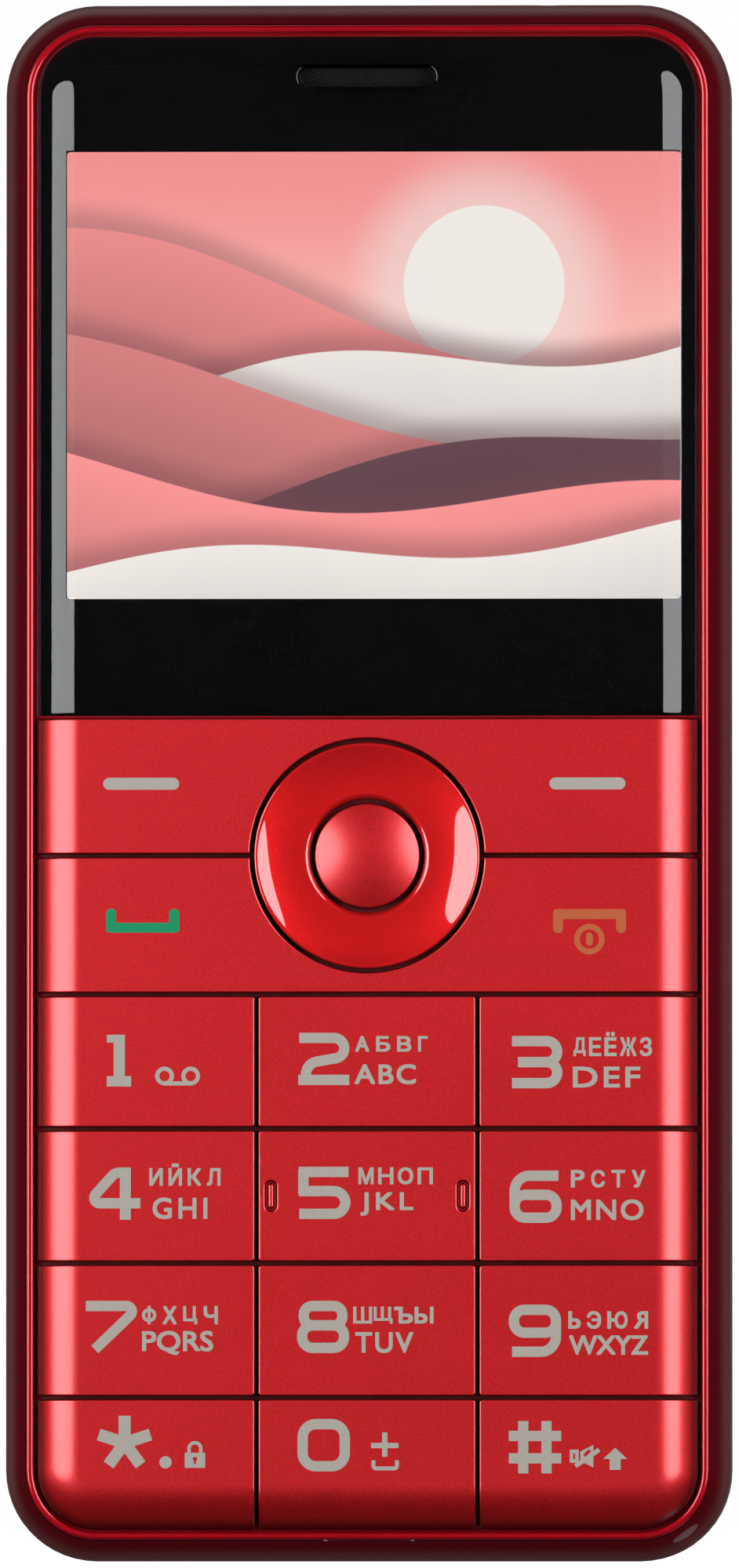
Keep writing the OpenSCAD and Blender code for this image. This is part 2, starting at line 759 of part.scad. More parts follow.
module camera_window() color(black, 0.6)
    translate([0, top_y, 0.1]) cylinder(r = camera_r, h = 0.8);

module loudspeaker() color(inner_grey) translate([speaker_x, top_y, z_panel_top]) difference() {
    cylinder(r = speaker_r, h = speaker_h);
    translate([0, 0, -1]) cylinder(r = speaker_r - 0.8, h = 1.4);
}

module speaker_mesh() color(black)
    translate([speaker_x, top_y, cover_t]) cylinder(r = speaker_r - 0.4, h = 0.2);

// A small motor with an off-centre weight on its shaft
module vibration_motor() color(tin)
    translate([motor_x, motor_y, z_board - motor_r - 0.05]) rotate([0, 90, 0]) {
        cylinder(r = motor_r, h = motor_l);
        translate([0, 0, motor_l - 0.1]) cylinder(r = 0.4, h = 3.6);
        translate([0, 0, motor_l + 0.6]) intersection() {
            cylinder(r = motor_r - 0.1, h = 2.6);
            block(1, 0, 0, motor_r + 0.5, 2 * motor_r + 1, 3);
        }
    }

module microphone() color(gold)
    translate([mic_x, inner_inset + mic_r + 0.7, z_usb - 1]) cylinder(r = mic_r, h = z_board - z_usb + 1);

// A socket shell with its tongue
module usb_socket() color(tin) translate([0, 0.3, z_usb]) rotate([-90, 0, 0]) mirror([0, 1, 0]) {
    difference() {
        linear_extrude(usb_l) rounded(usb_w, usb_h, 0.7);
        translate([0, 0, -1]) linear_extrude(usb_l + 0.4) rounded(usb_w - 0.6, usb_h - 0.6, 0.45);
    }
    translate([0, 0, 1]) linear_extrude(usb_l - 1.2) translate([0, 0.3]) square([usb_w - 2.4, 0.6], center = true);
}

module audio_jack() color(black) translate([jack_x, body_h - 0.2, z_jack]) rotate([90, 0, 0]) difference() {
    union() {
        cylinder(r = jack_nose_r, h = 3);
        translate([-jack_w / 2, -jack_h / 2, inner_inset + 0.1]) cube([jack_w, jack_h, jack_l - inner_inset - 0.1]);
    }
    translate([0, 0, -1]) cylinder(r = jack_bore_r, h = jack_l);
}

module antenna() color(gold)
    block(antenna_x, inner_inset + antenna_h / 2 + 0.5, z_board - antenna_t, antenna_w, antenna_h, antenna_t);

// Stands a piece drawn on its back on its bottom end
module stand_up() {
    translate([0, body_t / 2, 0]) rotate([90, 0, 0]) children();
}

stand_up() front_housing();
stand_up() side_frame();
stand_up() rear_housing();
stand_up() battery_cover();
stand_up() housing_screws();
stand_up() display_lens();
stand_up() lens_mask();
stand_up() lens_tape();
stand_up() lcd_panel();
stand_up() lcd_frame();
stand_up() lcd_flex();
stand_up() earpiece_mesh();
stand_up() earpiece_receiver();
stand_up() soft_key_bar();
stand_up() call_key_bar();
stand_up() nav_ring();
stand_up() nav_rubber();
stand_up() ok_button();
stand_up() keypad_mat();
stand_up() metal_domes();
stand_up() main_board();
stand_up() shield_can();
stand_up() battery();
stand_up() battery_contacts();
stand_up() sim_holder_left();
stand_up() sim_holder_right();
stand_up() card_holder();
stand_up() camera_module();
stand_up() camera_window();
stand_up() loudspeaker();
stand_up() speaker_mesh();
stand_up() vibration_motor();
stand_up() microphone();
stand_up() usb_socket();
stand_up() audio_jack();
stand_up() antenna();
for (i = [0:len(NUMBER_KEYS) - 1])
    stand_up() number_key(i);
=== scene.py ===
"""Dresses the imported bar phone: moulded keys, printed legends, lit display, painted shells and studio."""
import math

import bmesh
import bpy
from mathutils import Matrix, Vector


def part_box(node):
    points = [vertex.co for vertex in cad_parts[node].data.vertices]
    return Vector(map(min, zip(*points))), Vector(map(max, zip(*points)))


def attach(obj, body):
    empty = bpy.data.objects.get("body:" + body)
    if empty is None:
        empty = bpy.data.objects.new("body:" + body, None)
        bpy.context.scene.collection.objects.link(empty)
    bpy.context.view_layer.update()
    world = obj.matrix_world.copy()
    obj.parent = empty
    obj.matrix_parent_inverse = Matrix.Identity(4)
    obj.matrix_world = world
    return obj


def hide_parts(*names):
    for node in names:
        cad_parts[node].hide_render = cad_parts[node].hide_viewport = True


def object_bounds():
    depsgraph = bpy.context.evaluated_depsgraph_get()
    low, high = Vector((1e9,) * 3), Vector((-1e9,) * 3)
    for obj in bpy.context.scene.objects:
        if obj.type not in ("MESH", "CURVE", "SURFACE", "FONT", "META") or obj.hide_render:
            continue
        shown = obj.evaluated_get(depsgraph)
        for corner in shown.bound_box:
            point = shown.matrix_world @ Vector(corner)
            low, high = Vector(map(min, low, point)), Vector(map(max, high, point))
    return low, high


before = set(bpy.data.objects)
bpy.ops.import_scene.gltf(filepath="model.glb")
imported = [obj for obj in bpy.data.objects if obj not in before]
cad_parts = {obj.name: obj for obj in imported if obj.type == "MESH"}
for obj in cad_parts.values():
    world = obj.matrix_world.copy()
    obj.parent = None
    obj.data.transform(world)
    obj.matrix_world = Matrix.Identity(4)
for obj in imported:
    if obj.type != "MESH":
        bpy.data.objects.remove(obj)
CAD_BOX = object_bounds()

bl_info = {
    "name": "Bar phone dresser",
    "version": (1, 0, 0),
    "blender": (4, 5, 0),
    "location": "View3D > Sidebar > Phone",
    "description": "Models and finishes the visible pieces of a bar phone round its packed frame",
    "category": "Object",
}

MM = 0.001
UP = (0, 0, 1)
WHITE = (1, 1, 1, 1)
BLACK = (0, 0, 0, 1)

# A face whose normal leans out of the level by less than this is an upright wall
UPRIGHT = 0.2

# Small distances, in millimetres
MERGE_WITHIN = 0.0005
TINY = 0.001
NEAR = 0.01
PIN_OVERLAP = 0.3
NAV_GAP = 0.3
RING_HEIGHT = 1.3
BUTTON_SKIRT = 2
BUTTON_ROLL = 0.25
LENS_LIFT = 0.02
LENS_EDGE = 0.2
SLOT_ROOM = 0.1
MESH_ROOM = 0.12
CLOTH_LIFT = 0.06
PRINT_DEPTH = 0.02
TEXT_DEPTH = 0.02
BOLD_STEP = 0.001

NUMBER_KEYS = ["key_1", "key_2", "key_3", "key_4", "key_5", "key_6",
               "key_7", "key_8", "key_9", "key_star", "key_0", "key_hash"]


# Places on the phone

# Pieces are modelled in millimetres, lying on the back: x to the right, y up the phone, z out of the front

def box(node):
    """Lowest and highest corner of a CAD node, lying on its back, in millimetres."""
    low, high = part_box(node)
    back = CAD_BOX[1].y
    return (Vector((low.x, low.z, back - high.y)) / MM, Vector((high.x, high.z, back - low.y)) / MM)


BODY_LOW, BODY_HIGH = box("side_frame")
KEY_LOW, KEY_HIGH = box("soft_key_bar")
LENS_LOW = box("display_lens")[0]
RING_LOW, RING_HIGH = box("nav_ring")
BUTTON_HIGH = box("ok_button")[1]
PLUNGER_LEVEL = KEY_LOW.z
FRONT = KEY_HIGH.z
FACE_INSET = BODY_HIGH.x - KEY_HIGH.x
NAV_Y = (RING_LOW.y + RING_HIGH.y) / 2
COLUMN = (KEY_HIGH.x - KEY_LOW.x) / 3

# Lower and upper end of what cuts right through the front
THROUGH = (FRONT - 1, FRONT + 1)


def tint(*screen):
    """Blender's linear colour, with its alpha, for a colour's screen values from 0 to 255."""
    return (*(((c / 255 + 0.055) / 1.055) ** 2.4 if c > 10 else c / 255 / 12.92 for c in screen), 1)


# Settings that a user would change

def length(name, text, millimetres):
    return bpy.props.FloatProperty(name=name, description=text, default=millimetres * MM,
                                   unit="LENGTH", precision=5)


def turn_of(name, text, degrees):
    return bpy.props.FloatProperty(name=name, description=text, default=math.radians(degrees),
                                   subtype="ANGLE")


def colour(name, text, *screen):
    return bpy.props.FloatVectorProperty(name=name, description=text, default=tint(*screen)[:3],
                                         size=3, min=0, max=1, subtype="COLOR")


def amount(name, text, value):
    return bpy.props.FloatProperty(name=name, description=text, default=value, min=0)


class PhoneSizes(bpy.types.PropertyGroup):
    """Sizes of the moulded and printed pieces"""
    corner_radius: length("Corner radius", "Corner radius of the outline", 7)
    shoulder_width: length("Shoulder width", "Width of the rolled shoulder of the front", 2.8)
    shoulder_radius: length("Shoulder radius", "Radius of that shoulder", 5)
    shoulder_break: turn_of("Shoulder break", "Angle at which the shoulder leaves the flat front", 12)
    shoulder_blend: length("Shoulder blend", "Radius of the blend from the flat front into it", 4.0)
    edge_rounding: length("Edge rounding", "Rounding of the upper edges of the keys", 0.16)
    corner_rounding: length("Corner rounding", "Rounding of the corners of the keys", 0.25)
    cap_thickness: length("Cap thickness", "Thickness of the key caps", 2)
    plunger_radius: length("Plunger radius", "Radius of the pin under each key", 0.9)
    lip_width: length("Lip width", "Width of the navigation ring's raised lip", 0.2)
    dish_depth: length("Dish depth", "Depth of the dish in the navigation ring", 0.55)
    ring_edge: length("Ring edge", "Rounding of the ring's inner edge", 0.45)
    lip_edge: length("Lip edge", "Rounding of the ring's outer edge", 0.15)
    dome_rise: length("Dome rise", "Height of the middle button's dome", 0.6)
    print_height: length("Print height", "Height of the printed legends above the keys", 0.018)
    print_stroke: length("Print stroke", "Width of the strokes of the large figures", 0.79)
    letter_bold: length("Letter bold", "How much the small letters are thickened on each side", 0.045)
    seam_groove: length("Seam groove", "Width of the groove along the battery cover's seam", 0.12)
    picture_height: length("Picture height", "Height of the picture on the display", 34.3)
    picture_side: length("Picture side", "Distance from the display's side to the picture", 0.15)
    picture_top: length("Picture top", "Distance from the display's top to the picture", 0.5)
    mesh_pitch: length("Mesh pitch", "Distance between the wires of the sound meshes", 0.22)


class PhoneColours(bpy.types.PropertyGroup):
    """Colours of the finishes"""
    satin_red: colour("Satin red", "Metallic paint of the keys", 196, 18, 25)
    bead_red: colour("Bead red", "Paint of the bead ring", 168, 12, 28)
    gloss_red: colour("Gloss red", "Clear-coated navigation ring", 195, 24, 26)
    shell_red: colour("Shell red", "Clear-coated band and battery cover", 82, 5, 13)
    legend_grey: colour("Legend grey", "Printed figures and letters", 153, 146, 137)
    call_green: colour("Call green", "Sign on the call key", 16, 126, 82)
    end_orange: colour("End orange", "Sign on the end key", 167, 84, 51)
    picture_coral: colour("Picture coral", "Main colour of the picture on the display", 240, 142, 140)
    picture_pale: colour("Picture pale", "Pale colour of the picture on the display", 226, 220, 214)
    picture_dark: colour("Picture dark", "Shaded colour of the picture on the display", 92, 58, 66)
    plastic_grey: colour("Plastic grey", "Moulded inner parts", 44, 44, 47)


class StudioSettings(bpy.types.PropertyGroup):
    """Light and camera"""
    softbox_level: amount("Softbox level", "Brightness of the two softboxes, where 1 is white", 4.9)
    softbox_distance: amount("Softbox distance", "Distance from the phone to the softboxes, in metres", 0.45)
    left_low: length("Left lower end", "Height of the left softbox's lower end above the floor", -54)
    left_high: length("Left upper end", "Height of the left softbox's upper end above the floor", 238)
    right_low: length("Right lower end", "Height of the right softbox's lower end above the floor", -55)
    right_high: length("Right upper end", "Height of the right softbox's upper end above the floor", 345)
    left_near: turn_of("Left near edge", "Angle from the view to the left softbox's near edge", 17.5)
    left_far: turn_of("Left far edge", "Angle from the view to the left softbox's far edge", 67)
    right_near: turn_of("Right near edge", "Angle from the view to the right softbox's near edge", 21)
    right_far: turn_of("Right far edge", "Angle from the view to the right softbox's far edge", 62)
    surround_front: amount("Front surround", "Brightness of the room in front of the phone", 0.03)
    surround_back: amount("Back surround", "Brightness of the room behind the phone", 2.2)
    low_level: amount("Low softbox level", "Brightness of the small softbox low on the right", 0.65)
    mirrored_front: amount("Mirrored front", "Brightness of the mirrored room in front of the phone", 0.02)
    mirrored_low: amount("Mirrored low", "Brightness of the mirrored glow beside the phone, low down", 0.05)
    mirrored_side: amount("Mirrored side", "Brightness of the same glow at phone height", 0.2)
    mirrored_top: amount("Mirrored top", "Brightness of the same glow overhead", 0.42)
    camera_distance: amount("Camera distance", "Distance from the front to the camera, in metres", 2.0)
    frame_height: amount("Frame height", "Height of what the camera sees at the front, in metres", 0.12)
    camera_aim: length("Camera aim", "How far to the right of the phone's middle the camera looks", 0.2)
    camera_aim_up: length("Camera aim up", "How far above the phone's middle the camera looks", -0.21)
    camera_right: turn_of("Camera right", "Angle of the camera to the right of straight on", 1.7)
    camera_down: turn_of("Camera down", "Angle of the camera below straight on", 1.6)


def sizes(name):
    """One of the sizes, in millimetres."""
    return getattr(bpy.context.scene.phone_sizes, name) / MM


def shade(name):
    """One of the colours, with its alpha."""
    return (*getattr(bpy.context.scene.phone_colours, name), 1)


# Modelling by hand

def take_all():
    """Selects all of the mesh that is being edited."""
    bpy.ops.mesh.select_all(action="SELECT")


def deselect():
    if bpy.context.object and bpy.context.object.mode != "OBJECT":
        bpy.ops.object.mode_set(mode="OBJECT")
    bpy.ops.object.select_all(action="DESELECT")


def pick(piece, mode="OBJECT"):
    """Makes one piece the only selected one, and enters a mode."""
    deselect()
    bpy.context.view_layer.objects.active = piece
    piece.select_set(True)
    if mode != "OBJECT":
        bpy.ops.object.mode_set(mode=mode)
        take_all()


def point(name, place):
    """Starts a piece from a plane that is merged to one point, and stays in edit mode."""
    deselect()
    bpy.ops.mesh.primitive_plane_add(size=1)
    piece = bpy.context.object
    piece.name = piece.data.name = name
    bpy.ops.object.mode_set(mode="EDIT")
    bpy.ops.mesh.select_mode(type="VERT")
    take_all()
    bpy.ops.mesh.merge(type="CENTER")
    bpy.ops.transform.translate(value=place)
    return piece


def settle():
    """Works the place, turn and scale of the active piece into its mesh."""
    bpy.ops.object.transform_apply(location=True, rotation=True, scale=True)


def extrude(step):
    bpy.ops.mesh.extrude_region_move(TRANSFORM_OT_translate={"value": step})


def spin(centre, axis, angle, steps):
    """Spins what is selected by the right-hand rule, which is the other way round from the operator's own."""
    bpy.ops.mesh.spin(steps=steps, angle=-angle, center=centre, axis=axis)


def weld():
    take_all()
    bpy.ops.mesh.remove_doubles(threshold=MERGE_WITHIN)
    bpy.ops.mesh.normals_make_consistent(inside=False)


def thicken(height):
    """Welds a flat shape and draws it out to a height."""
    weld()
    extrude((0, 0, height))
    weld()


def chain(name, places):
    """A line of points, extruded from the first to the last, and then all selected."""
    piece = point(name, places[0])
    for start, end in zip(places, places[1:]):
        extrude(Vector(end) - Vector(start))
    take_all()
    bpy.ops.mesh.remove_doubles(threshold=MERGE_WITHIN)
    return piece


def arc(across, level, radius, start, end, steps):
    """Points of an arc in a profile, from one angle to another in degrees."""
    turns = [math.radians(start + (end - start) * i / steps) for i in range(steps + 1)]
    return [(across + radius * math.cos(t), level + radius * math.sin(t)) for t in turns]


def turned(name, profile, x, y, steps):
    """A profile of radius and level, spun round an upright axis."""
    piece = chain(name, [(x + radius, y, level) for radius, level in profile])
    spin((x, y, 0), UP, math.tau, steps)
    weld()
    return piece


def carried_round(name, profile):
    """A profile of distance from the corner's centre and level, carried round the phone's outline."""
    radius = sizes("corner_radius")
    right, top = BODY_HIGH.x - radius, BODY_HIGH.y - radius
    piece = chain(name, [(right + out, radius, level) for out, level in profile])
    runs = [((0, top - radius, 0), (right, top, 0)), ((-2 * right, 0, 0), (-right, top, 0)),
            ((0, radius - top, 0), (-right, radius, 0)), ((2 * right, 0, 0), (right, radius, 0))]
    for run, centre in runs:
        extrude(run)
        spin(centre, UP, math.pi / 2, steps=20)
    weld()
    return piece


def pick_edges(piece, test):
    """Selects the edges with two faces that pass a test of the edge and those faces' normals."""
    bpy.ops.mesh.select_mode(type="EDGE")
    bpy.ops.mesh.select_all(action="DESELECT")
    shape = bmesh.from_edit_mesh(piece.data)
    shape.normal_update()
    for edge in shape.edges:
        if len(edge.link_faces) == 2:
            first, second = (f.normal for f in edge.link_faces)
            edge.select_set(bool(test(edge, first, second)))
    bmesh.update_edit_mesh(piece.data)


def cut(place, normal):
    """Cuts away what lies beyond a plane, and closes the cut."""
    take_all()
    bpy.ops.mesh.bisect(plane_co=place, plane_no=normal, use_fill=True, clear_outer=True)


def combine(piece, tool, operation="DIFFERENCE"):
    """Cuts a tool out of a piece, or adds it, and removes the tool."""
    pick(piece)
    change = piece.modifiers.new("Combine", "BOOLEAN")
    change.operation = operation
    change.solver = "EXACT"
    change.object = tool
    bpy.ops.object.modifier_apply(modifier=change.name)
    bpy.data.objects.remove(tool)


def cylinder(x, y, radius, low, high, sides):
    """A plain cutter or pin, to be combined with a piece."""
    deselect()
    bpy.ops.mesh.primitive_cylinder_add(vertices=sides, radius=radius, depth=high - low,
                                        location=(x, y, (low + high) / 2))
    settle()
    return bpy.context.object


def stand_up(piece):
    """Stands a piece that was modelled on its back in its place on the phone, in metres."""
    pick(piece)
    piece.scale = (MM, MM, MM)
    piece.rotation_euler = (math.pi / 2, 0, 0)
    piece.location = (0, CAD_BOX[1].y, 0)
    settle()


def smooth(piece, degrees, weighted):
    """Smooths all but sharp edges, and keeps the flat faces flat."""
    pick(piece)
    bpy.ops.object.shade_smooth_by_angle(angle=math.radians(degrees), keep_sharp_edges=True)
    if weighted:
        change = piece.modifiers.new("Flat faces", "WEIGHTED_NORMAL")
        change.weight = 100
        change.keep_sharp = True
        bpy.ops.object.modifier_apply(modifier=change.name)


def dress(piece, material, body, slot, *nodes, degrees=35, weighted=True):
    """Stands a piece up and gives it its material and body, and hides the CAD nodes that it stands for."""
    stand_up(piece)
    smooth(piece, degrees, weighted)
    piece.data.materials.clear()
    piece.data.materials.append(material)
    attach(piece, body)
    if nodes:
        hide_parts(*nodes)


def paint_node(node, material):
    """Gives a CAD node that stays a better material."""
    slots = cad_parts[node].data.materials
    slots.clear()
    slots.append(material)


def copy_of(node, name):
    """A copy of a CAD node's mesh, lying on its back, with its loose triangles merged."""
    piece = bpy.data.objects.new(name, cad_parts[node].data.copy())
    bpy.context.scene.collection.objects.link(piece)
    pick(piece)
    piece.location = (0, 0, CAD_BOX[1].y / MM)
    piece.rotation_euler = (-math.pi / 2, 0, 0)
    piece.scale = (1 / MM,) * 3
    settle()
    pick(piece, "EDIT")
    bpy.ops.mesh.customdata_custom_splitnormals_clear()
    bpy.ops.mesh.remove_doubles(threshold=MERGE_WITHIN)
    bpy.ops.mesh.dissolve_limited(angle_limit=math.radians(0.3))
    return piece


# Drawing with a pen

def left_of(aim):
    return Vector((-math.sin(aim), math.cos(aim), 0))


def pen(name, x, y, heading, width, moves, low, high):
    """A raised stroke: a number goes straight on, and (angle, radius) turns left, or right if negative."""
    aim = math.radians(heading)
    place = Vector((x, y, low))
    piece = point(name, place + left_of(aim) * width / 2)
    extrude(-left_of(aim) * width)
    take_all()
    for move in moves:
        if isinstance(move, tuple):
            angle, radius = math.radians(move[0]), move[1]
            side = math.copysign(1, angle)
            centre = place + left_of(aim) * radius * side
            spin(centre, UP, angle, max(2, round(abs(move[0]) / 12)))
            aim += angle
            place = centre - left_of(aim) * radius * side
        else:
            step = Vector((math.cos(aim), math.sin(aim), 0)) * move
            extrude(step)
            place = place + step
    thicken(high - low)
    return piece


def ring_moves(width, height, radius):
    """Moves round a closed loop with round corners, from the middle of its lower side."""
    half, side = width / 2 - radius, height - 2 * radius
    turn = (90, radius)
    return [move for move in (half, turn, side, turn, 2 * half, turn, side, turn, half)
            if isinstance(move, tuple) or move > 0.0001]


def join(pieces, name):
    """Joins pieces into the first one as they are."""
    deselect()
    for piece in pieces:
        piece.select_set(True)
    bpy.context.view_layer.objects.active = pieces[0]
    if len(pieces) > 1:
        bpy.ops.object.join()
    pieces[0].name = pieces[0].data.name = name
    return pieces[0]


def unite(pieces, name):
    """Joins overlapping strokes into one solid."""
    first = pieces[0]
    for other in pieces[1:]:
        combine(first, other, "UNION")
    first.name = first.data.name = name
    return first


# Effects that several finishes share

def feed(tree, sockets, inputs):
    """Sets values or makes links on a node's inputs."""
    for key, value in inputs.items():
        if isinstance(value, bpy.types.NodeSocket):
            tree.links.new(value, sockets[key])
        else:
            sockets[key].default_value = value


def node_to(tree, kind, inputs=None, **settings):
    """A new node, with its settings and inputs."""
    made = tree.nodes.new("ShaderNode" + kind)
    for key, value in settings.items():
        setattr(made, key, value)
    feed(tree, made.inputs, inputs or {})
    return made


def calculate(tree, operation, first, second=0.0, third=0.0):
    return node_to(tree, "Math", {0: first, 1: second, 2: third}, operation=operation).outputs[0]


def times_plus(tree, value, factor, base):
    return calculate(tree, "MULTIPLY_ADD", value, factor, base)


def vector(tree, operation, first, second=(0, 0, 0), scale=1.0):
    return node_to(tree, "VectorMath", {0: first, 1: second, 3: scale}, operation=operation).outputs[0]


def blend(tree, factor, first, second):
    return node_to(tree, "Mix", {0: factor, 6: first, 7: second}, data_type="RGBA").outputs[2]


def either(tree, factor, first, second):
    return node_to(tree, "MixShader", {0: factor, 1: first, 2: second}).outputs[0]


def span(tree, value, low, high, to_low=0.0, to_high=1.0, kind="SMOOTHSTEP"):
    return node_to(tree, "MapRange", {"Value": value, "From Min": low, "From Max": high, "To Min": to_low,
                                      "To Max": to_high}, interpolation_type=kind).outputs[0]


def effect(name, inputs, outputs):
    """A new shader node group with named sockets, with what it is given and what it hands on."""
    group = bpy.data.node_groups.new(name, "ShaderNodeTree")
    for label, kind, value in inputs:
        socket = group.interface.new_socket(label, in_out="INPUT", socket_type="NodeSocket" + kind)
        if value is not None:
            socket.default_value = value
    for label, kind in outputs:
        group.interface.new_socket(label, in_out="OUTPUT", socket_type="NodeSocket" + kind)
    return group, group.nodes.new("NodeGroupInput").outputs, group.nodes.new("NodeGroupOutput").inputs


def in_units(group, given):
    """The place that an effect is given, in units of its size in millimetres."""
    return vector(group, "SCALE", given["Vector"], scale=calculate(group, "DIVIDE", 1000.0, given["Size"]))


def grain_effect():
    """Fine paint or moulding grain: a mask, and a normal that follows it."""
    if "Fine grain" in bpy.data.node_groups:
        return bpy.data.node_groups["Fine grain"]
    group, given, result = effect(
        "Fine grain", [("Vector", "Vector", None), ("Size", "Float", 0.15), ("Depth", "Float", 0.1)],
        [("Mask", "Float"), ("Normal", "Vector")])
    fine = node_to(group, "TexNoise", {"Vector": in_units(group, given), "Scale": 1.0, "Detail": 2.0,
                                       "Roughness": 0.65}).outputs[0]
    mask = span(group, fine, 0.3, 0.7, kind="LINEAR")
    bump = node_to(group, "Bump", {"Strength": given["Depth"], "Distance": 0.00002, "Height": mask})
    feed(group, result, {"Mask": mask, "Normal": bump.outputs[0]})
    return group


def flake_effect():
    """Metal flakes in paint: each flake has its own brightness and tilt."""
    if "Metal flake" in bpy.data.node_groups:
        return bpy.data.node_groups["Metal flake"]
    group, given, result = effect(
        "Metal flake", [("Vector", "Vector", None), ("Size", "Float", 0.1), ("Tilt", "Float", 0.1)],
        [("Sparkle", "Float"), ("Normal", "Vector")])
    cells = node_to(group, "TexVoronoi", {"Vector": in_units(group, given), "Scale": 1.0}).outputs["Color"]
    sparkle = node_to(group, "SeparateColor", {0: cells}).outputs[0]
    centred = vector(group, "SUBTRACT", cells, (0.5, 0.5, 0.5))
    lean = vector(group, "SCALE", centred, scale=given["Tilt"])
    tilted = vector(group, "ADD", node_to(group, "NewGeometry").outputs["Normal"], lean)
    feed(group, result, {"Sparkle": sparkle, "Normal": vector(group, "NORMALIZE", tilted)})
    return group


def handling_effect():
    """Faint wiped smudges from handling, as a mask."""
    if "Handling marks" in bpy.data.node_groups:
        return bpy.data.node_groups["Handling marks"]
    group, given, result = effect("Handling marks", [("Vector", "Vector", None), ("Size", "Float", 9.0)],
                                  [("Mask", "Float")])
    lying = node_to(group, "Mapping", {"Vector": in_units(group, given), "Rotation": (0, 0.6, 0),
                                       "Scale": (1, 1, 2.4)}).outputs[0]
    wiped = node_to(group, "TexNoise", {"Vector": lying, "Scale": 1.0, "Detail": 4.0,
                                        "Distortion": 0.6}).outputs[0]
    feed(group, result, {"Mask": span(group, wiped, 0.42, 0.72)})
    return group


def placed(tree, group, **inputs):
    """An effect's group, placed in a material."""
    made = tree.nodes.new("ShaderNodeGroup")
    made.node_tree = group
    feed(tree, made.inputs, inputs)
    return made.outputs


# Finishes

def finish_of(name):
    """A new material with a Principled shader, and its object coordinates."""
    made = bpy.data.materials.new(name)
    made.use_nodes = True
    tree = made.node_tree
    tree.nodes.clear()
    shader = node_to(tree, "BsdfPrincipled")
    out = node_to(tree, "OutputMaterial", {"Surface": shader.outputs[0]})
    out.is_active_output = True
    return made, tree, shader, node_to(tree, "TexCoord").outputs["Object"]


def set_all(tree, shader, **inputs):
    feed(tree, shader.inputs, {label.replace("_", " "): value for label, value in inputs.items()})


def scaled(tone, factor):
    return (*(min(1.0, c * factor) for c in tone[:3]), 1)


def satin_paint():
    """Satin metallic paint under a dull clear coat, with painted shade where the surface turns from the
    front.
    """
    if "Satin red paint" in bpy.data.materials:
        return bpy.data.materials["Satin red paint"]
    made, tree, shader, place = finish_of("Satin red paint")
    red = shade("satin_red")
    grain = placed(tree, grain_effect(), Vector=place, Size=0.2, Depth=0.12)
    flake = placed(tree, flake_effect(), Vector=place, Size=0.07, Tilt=0.1)
    smudge = placed(tree, handling_effect(), Vector=place, Size=14.0)
    tone = blend(tree, grain["Mask"], scaled(red, 0.82), scaled(red, 1.14))
    tone = blend(tree, span(tree, flake["Sparkle"], 0.8, 1.0), tone, scaled(red, 1.25))
    # Painted shade: the colour sinks towards black where the surface leans away from the front, as on the
    # keys' outer shoulders
    normal = node_to(tree, "SeparateXYZ", {0: node_to(tree, "TexCoord").outputs["Normal"]})
    slope = calculate(tree, "ADD", normal.outputs["Y"], 1.0)
    tone = blend(tree, span(tree, slope, 0.18, 0.34, 0.0, 0.88), tone, scaled(red, 0.02))
    gloss = times_plus(tree, smudge["Mask"], 0.02, 0.42)
    gloss = times_plus(tree, grain["Mask"], 0.04, gloss)
    set_all(tree, shader, Base_Color=tone, Roughness=gloss, Normal=grain["Normal"], Metallic=0.8,
            Coat_Weight=1.0, Coat_Roughness=0.23, Coat_IOR=1.54)
    return made


def gloss_paint(name, red, metal, coat_roughness, coat_ior=1.5, flake_size=0.07, tilt=0.06, lift=0.12):
    """Clear-coated paint over metal flakes, which lift or lower its brightness."""
    if name in bpy.data.materials:
        return bpy.data.materials[name]
    made, tree, shader, place = finish_of(name)
    flake = placed(tree, flake_effect(), Vector=place, Size=flake_size, Tilt=tilt)
    smudge = placed(tree, handling_effect(), Vector=place, Size=11.0)
    tone = blend(tree, flake["Sparkle"], scaled(red, 1 - lift), scaled(red, 1 + lift))
    set_all(tree, shader, Base_Color=tone, Normal=flake["Normal"], Metallic=metal, Coat_Weight=1.0,
            Coat_Roughness=coat_roughness, Coat_IOR=coat_ior, Specular_IOR_Level=0.0,
            Roughness=times_plus(tree, smudge["Mask"], 0.05, 0.42))
    return made


def shell_paint():
    return gloss_paint("Dark red gloss", shade("shell_red"), metal=0.4, coat_roughness=0.05)


def ring_paint():
    return gloss_paint("Bright red gloss", shade("gloss_red"), flake_size=0.08, tilt=0.05, lift=0.08,
                       metal=0.6, coat_roughness=0.03, coat_ior=1.7)


def bead_paint():
    return gloss_paint("Bead red paint", shade("bead_red"), metal=0.75, coat_roughness=0.1)


def moulded(name, tone, roughness, size=0.2, depth=0.3, spread=0.12, **more):
    """Moulded plastic, rubber or card: spark-eroded grain in colour, gloss and surface."""
    if name in bpy.data.materials:
        return bpy.data.materials[name]
    made, tree, shader, place = finish_of(name)
    grain = placed(tree, grain_effect(), Vector=place, Size=size, Depth=depth)
    smudge = placed(tree, handling_effect(), Vector=place, Size=8.0)
    mixed = blend(tree, grain["Mask"], scaled(tone, 1 - spread), scaled(tone, 1 + spread))
    gloss = times_plus(tree, smudge["Mask"], 0.1, roughness)
    set_all(tree, shader, Base_Color=mixed, Normal=grain["Normal"],
            Roughness=times_plus(tree, grain["Mask"], 0.06, gloss), **more)
    return made


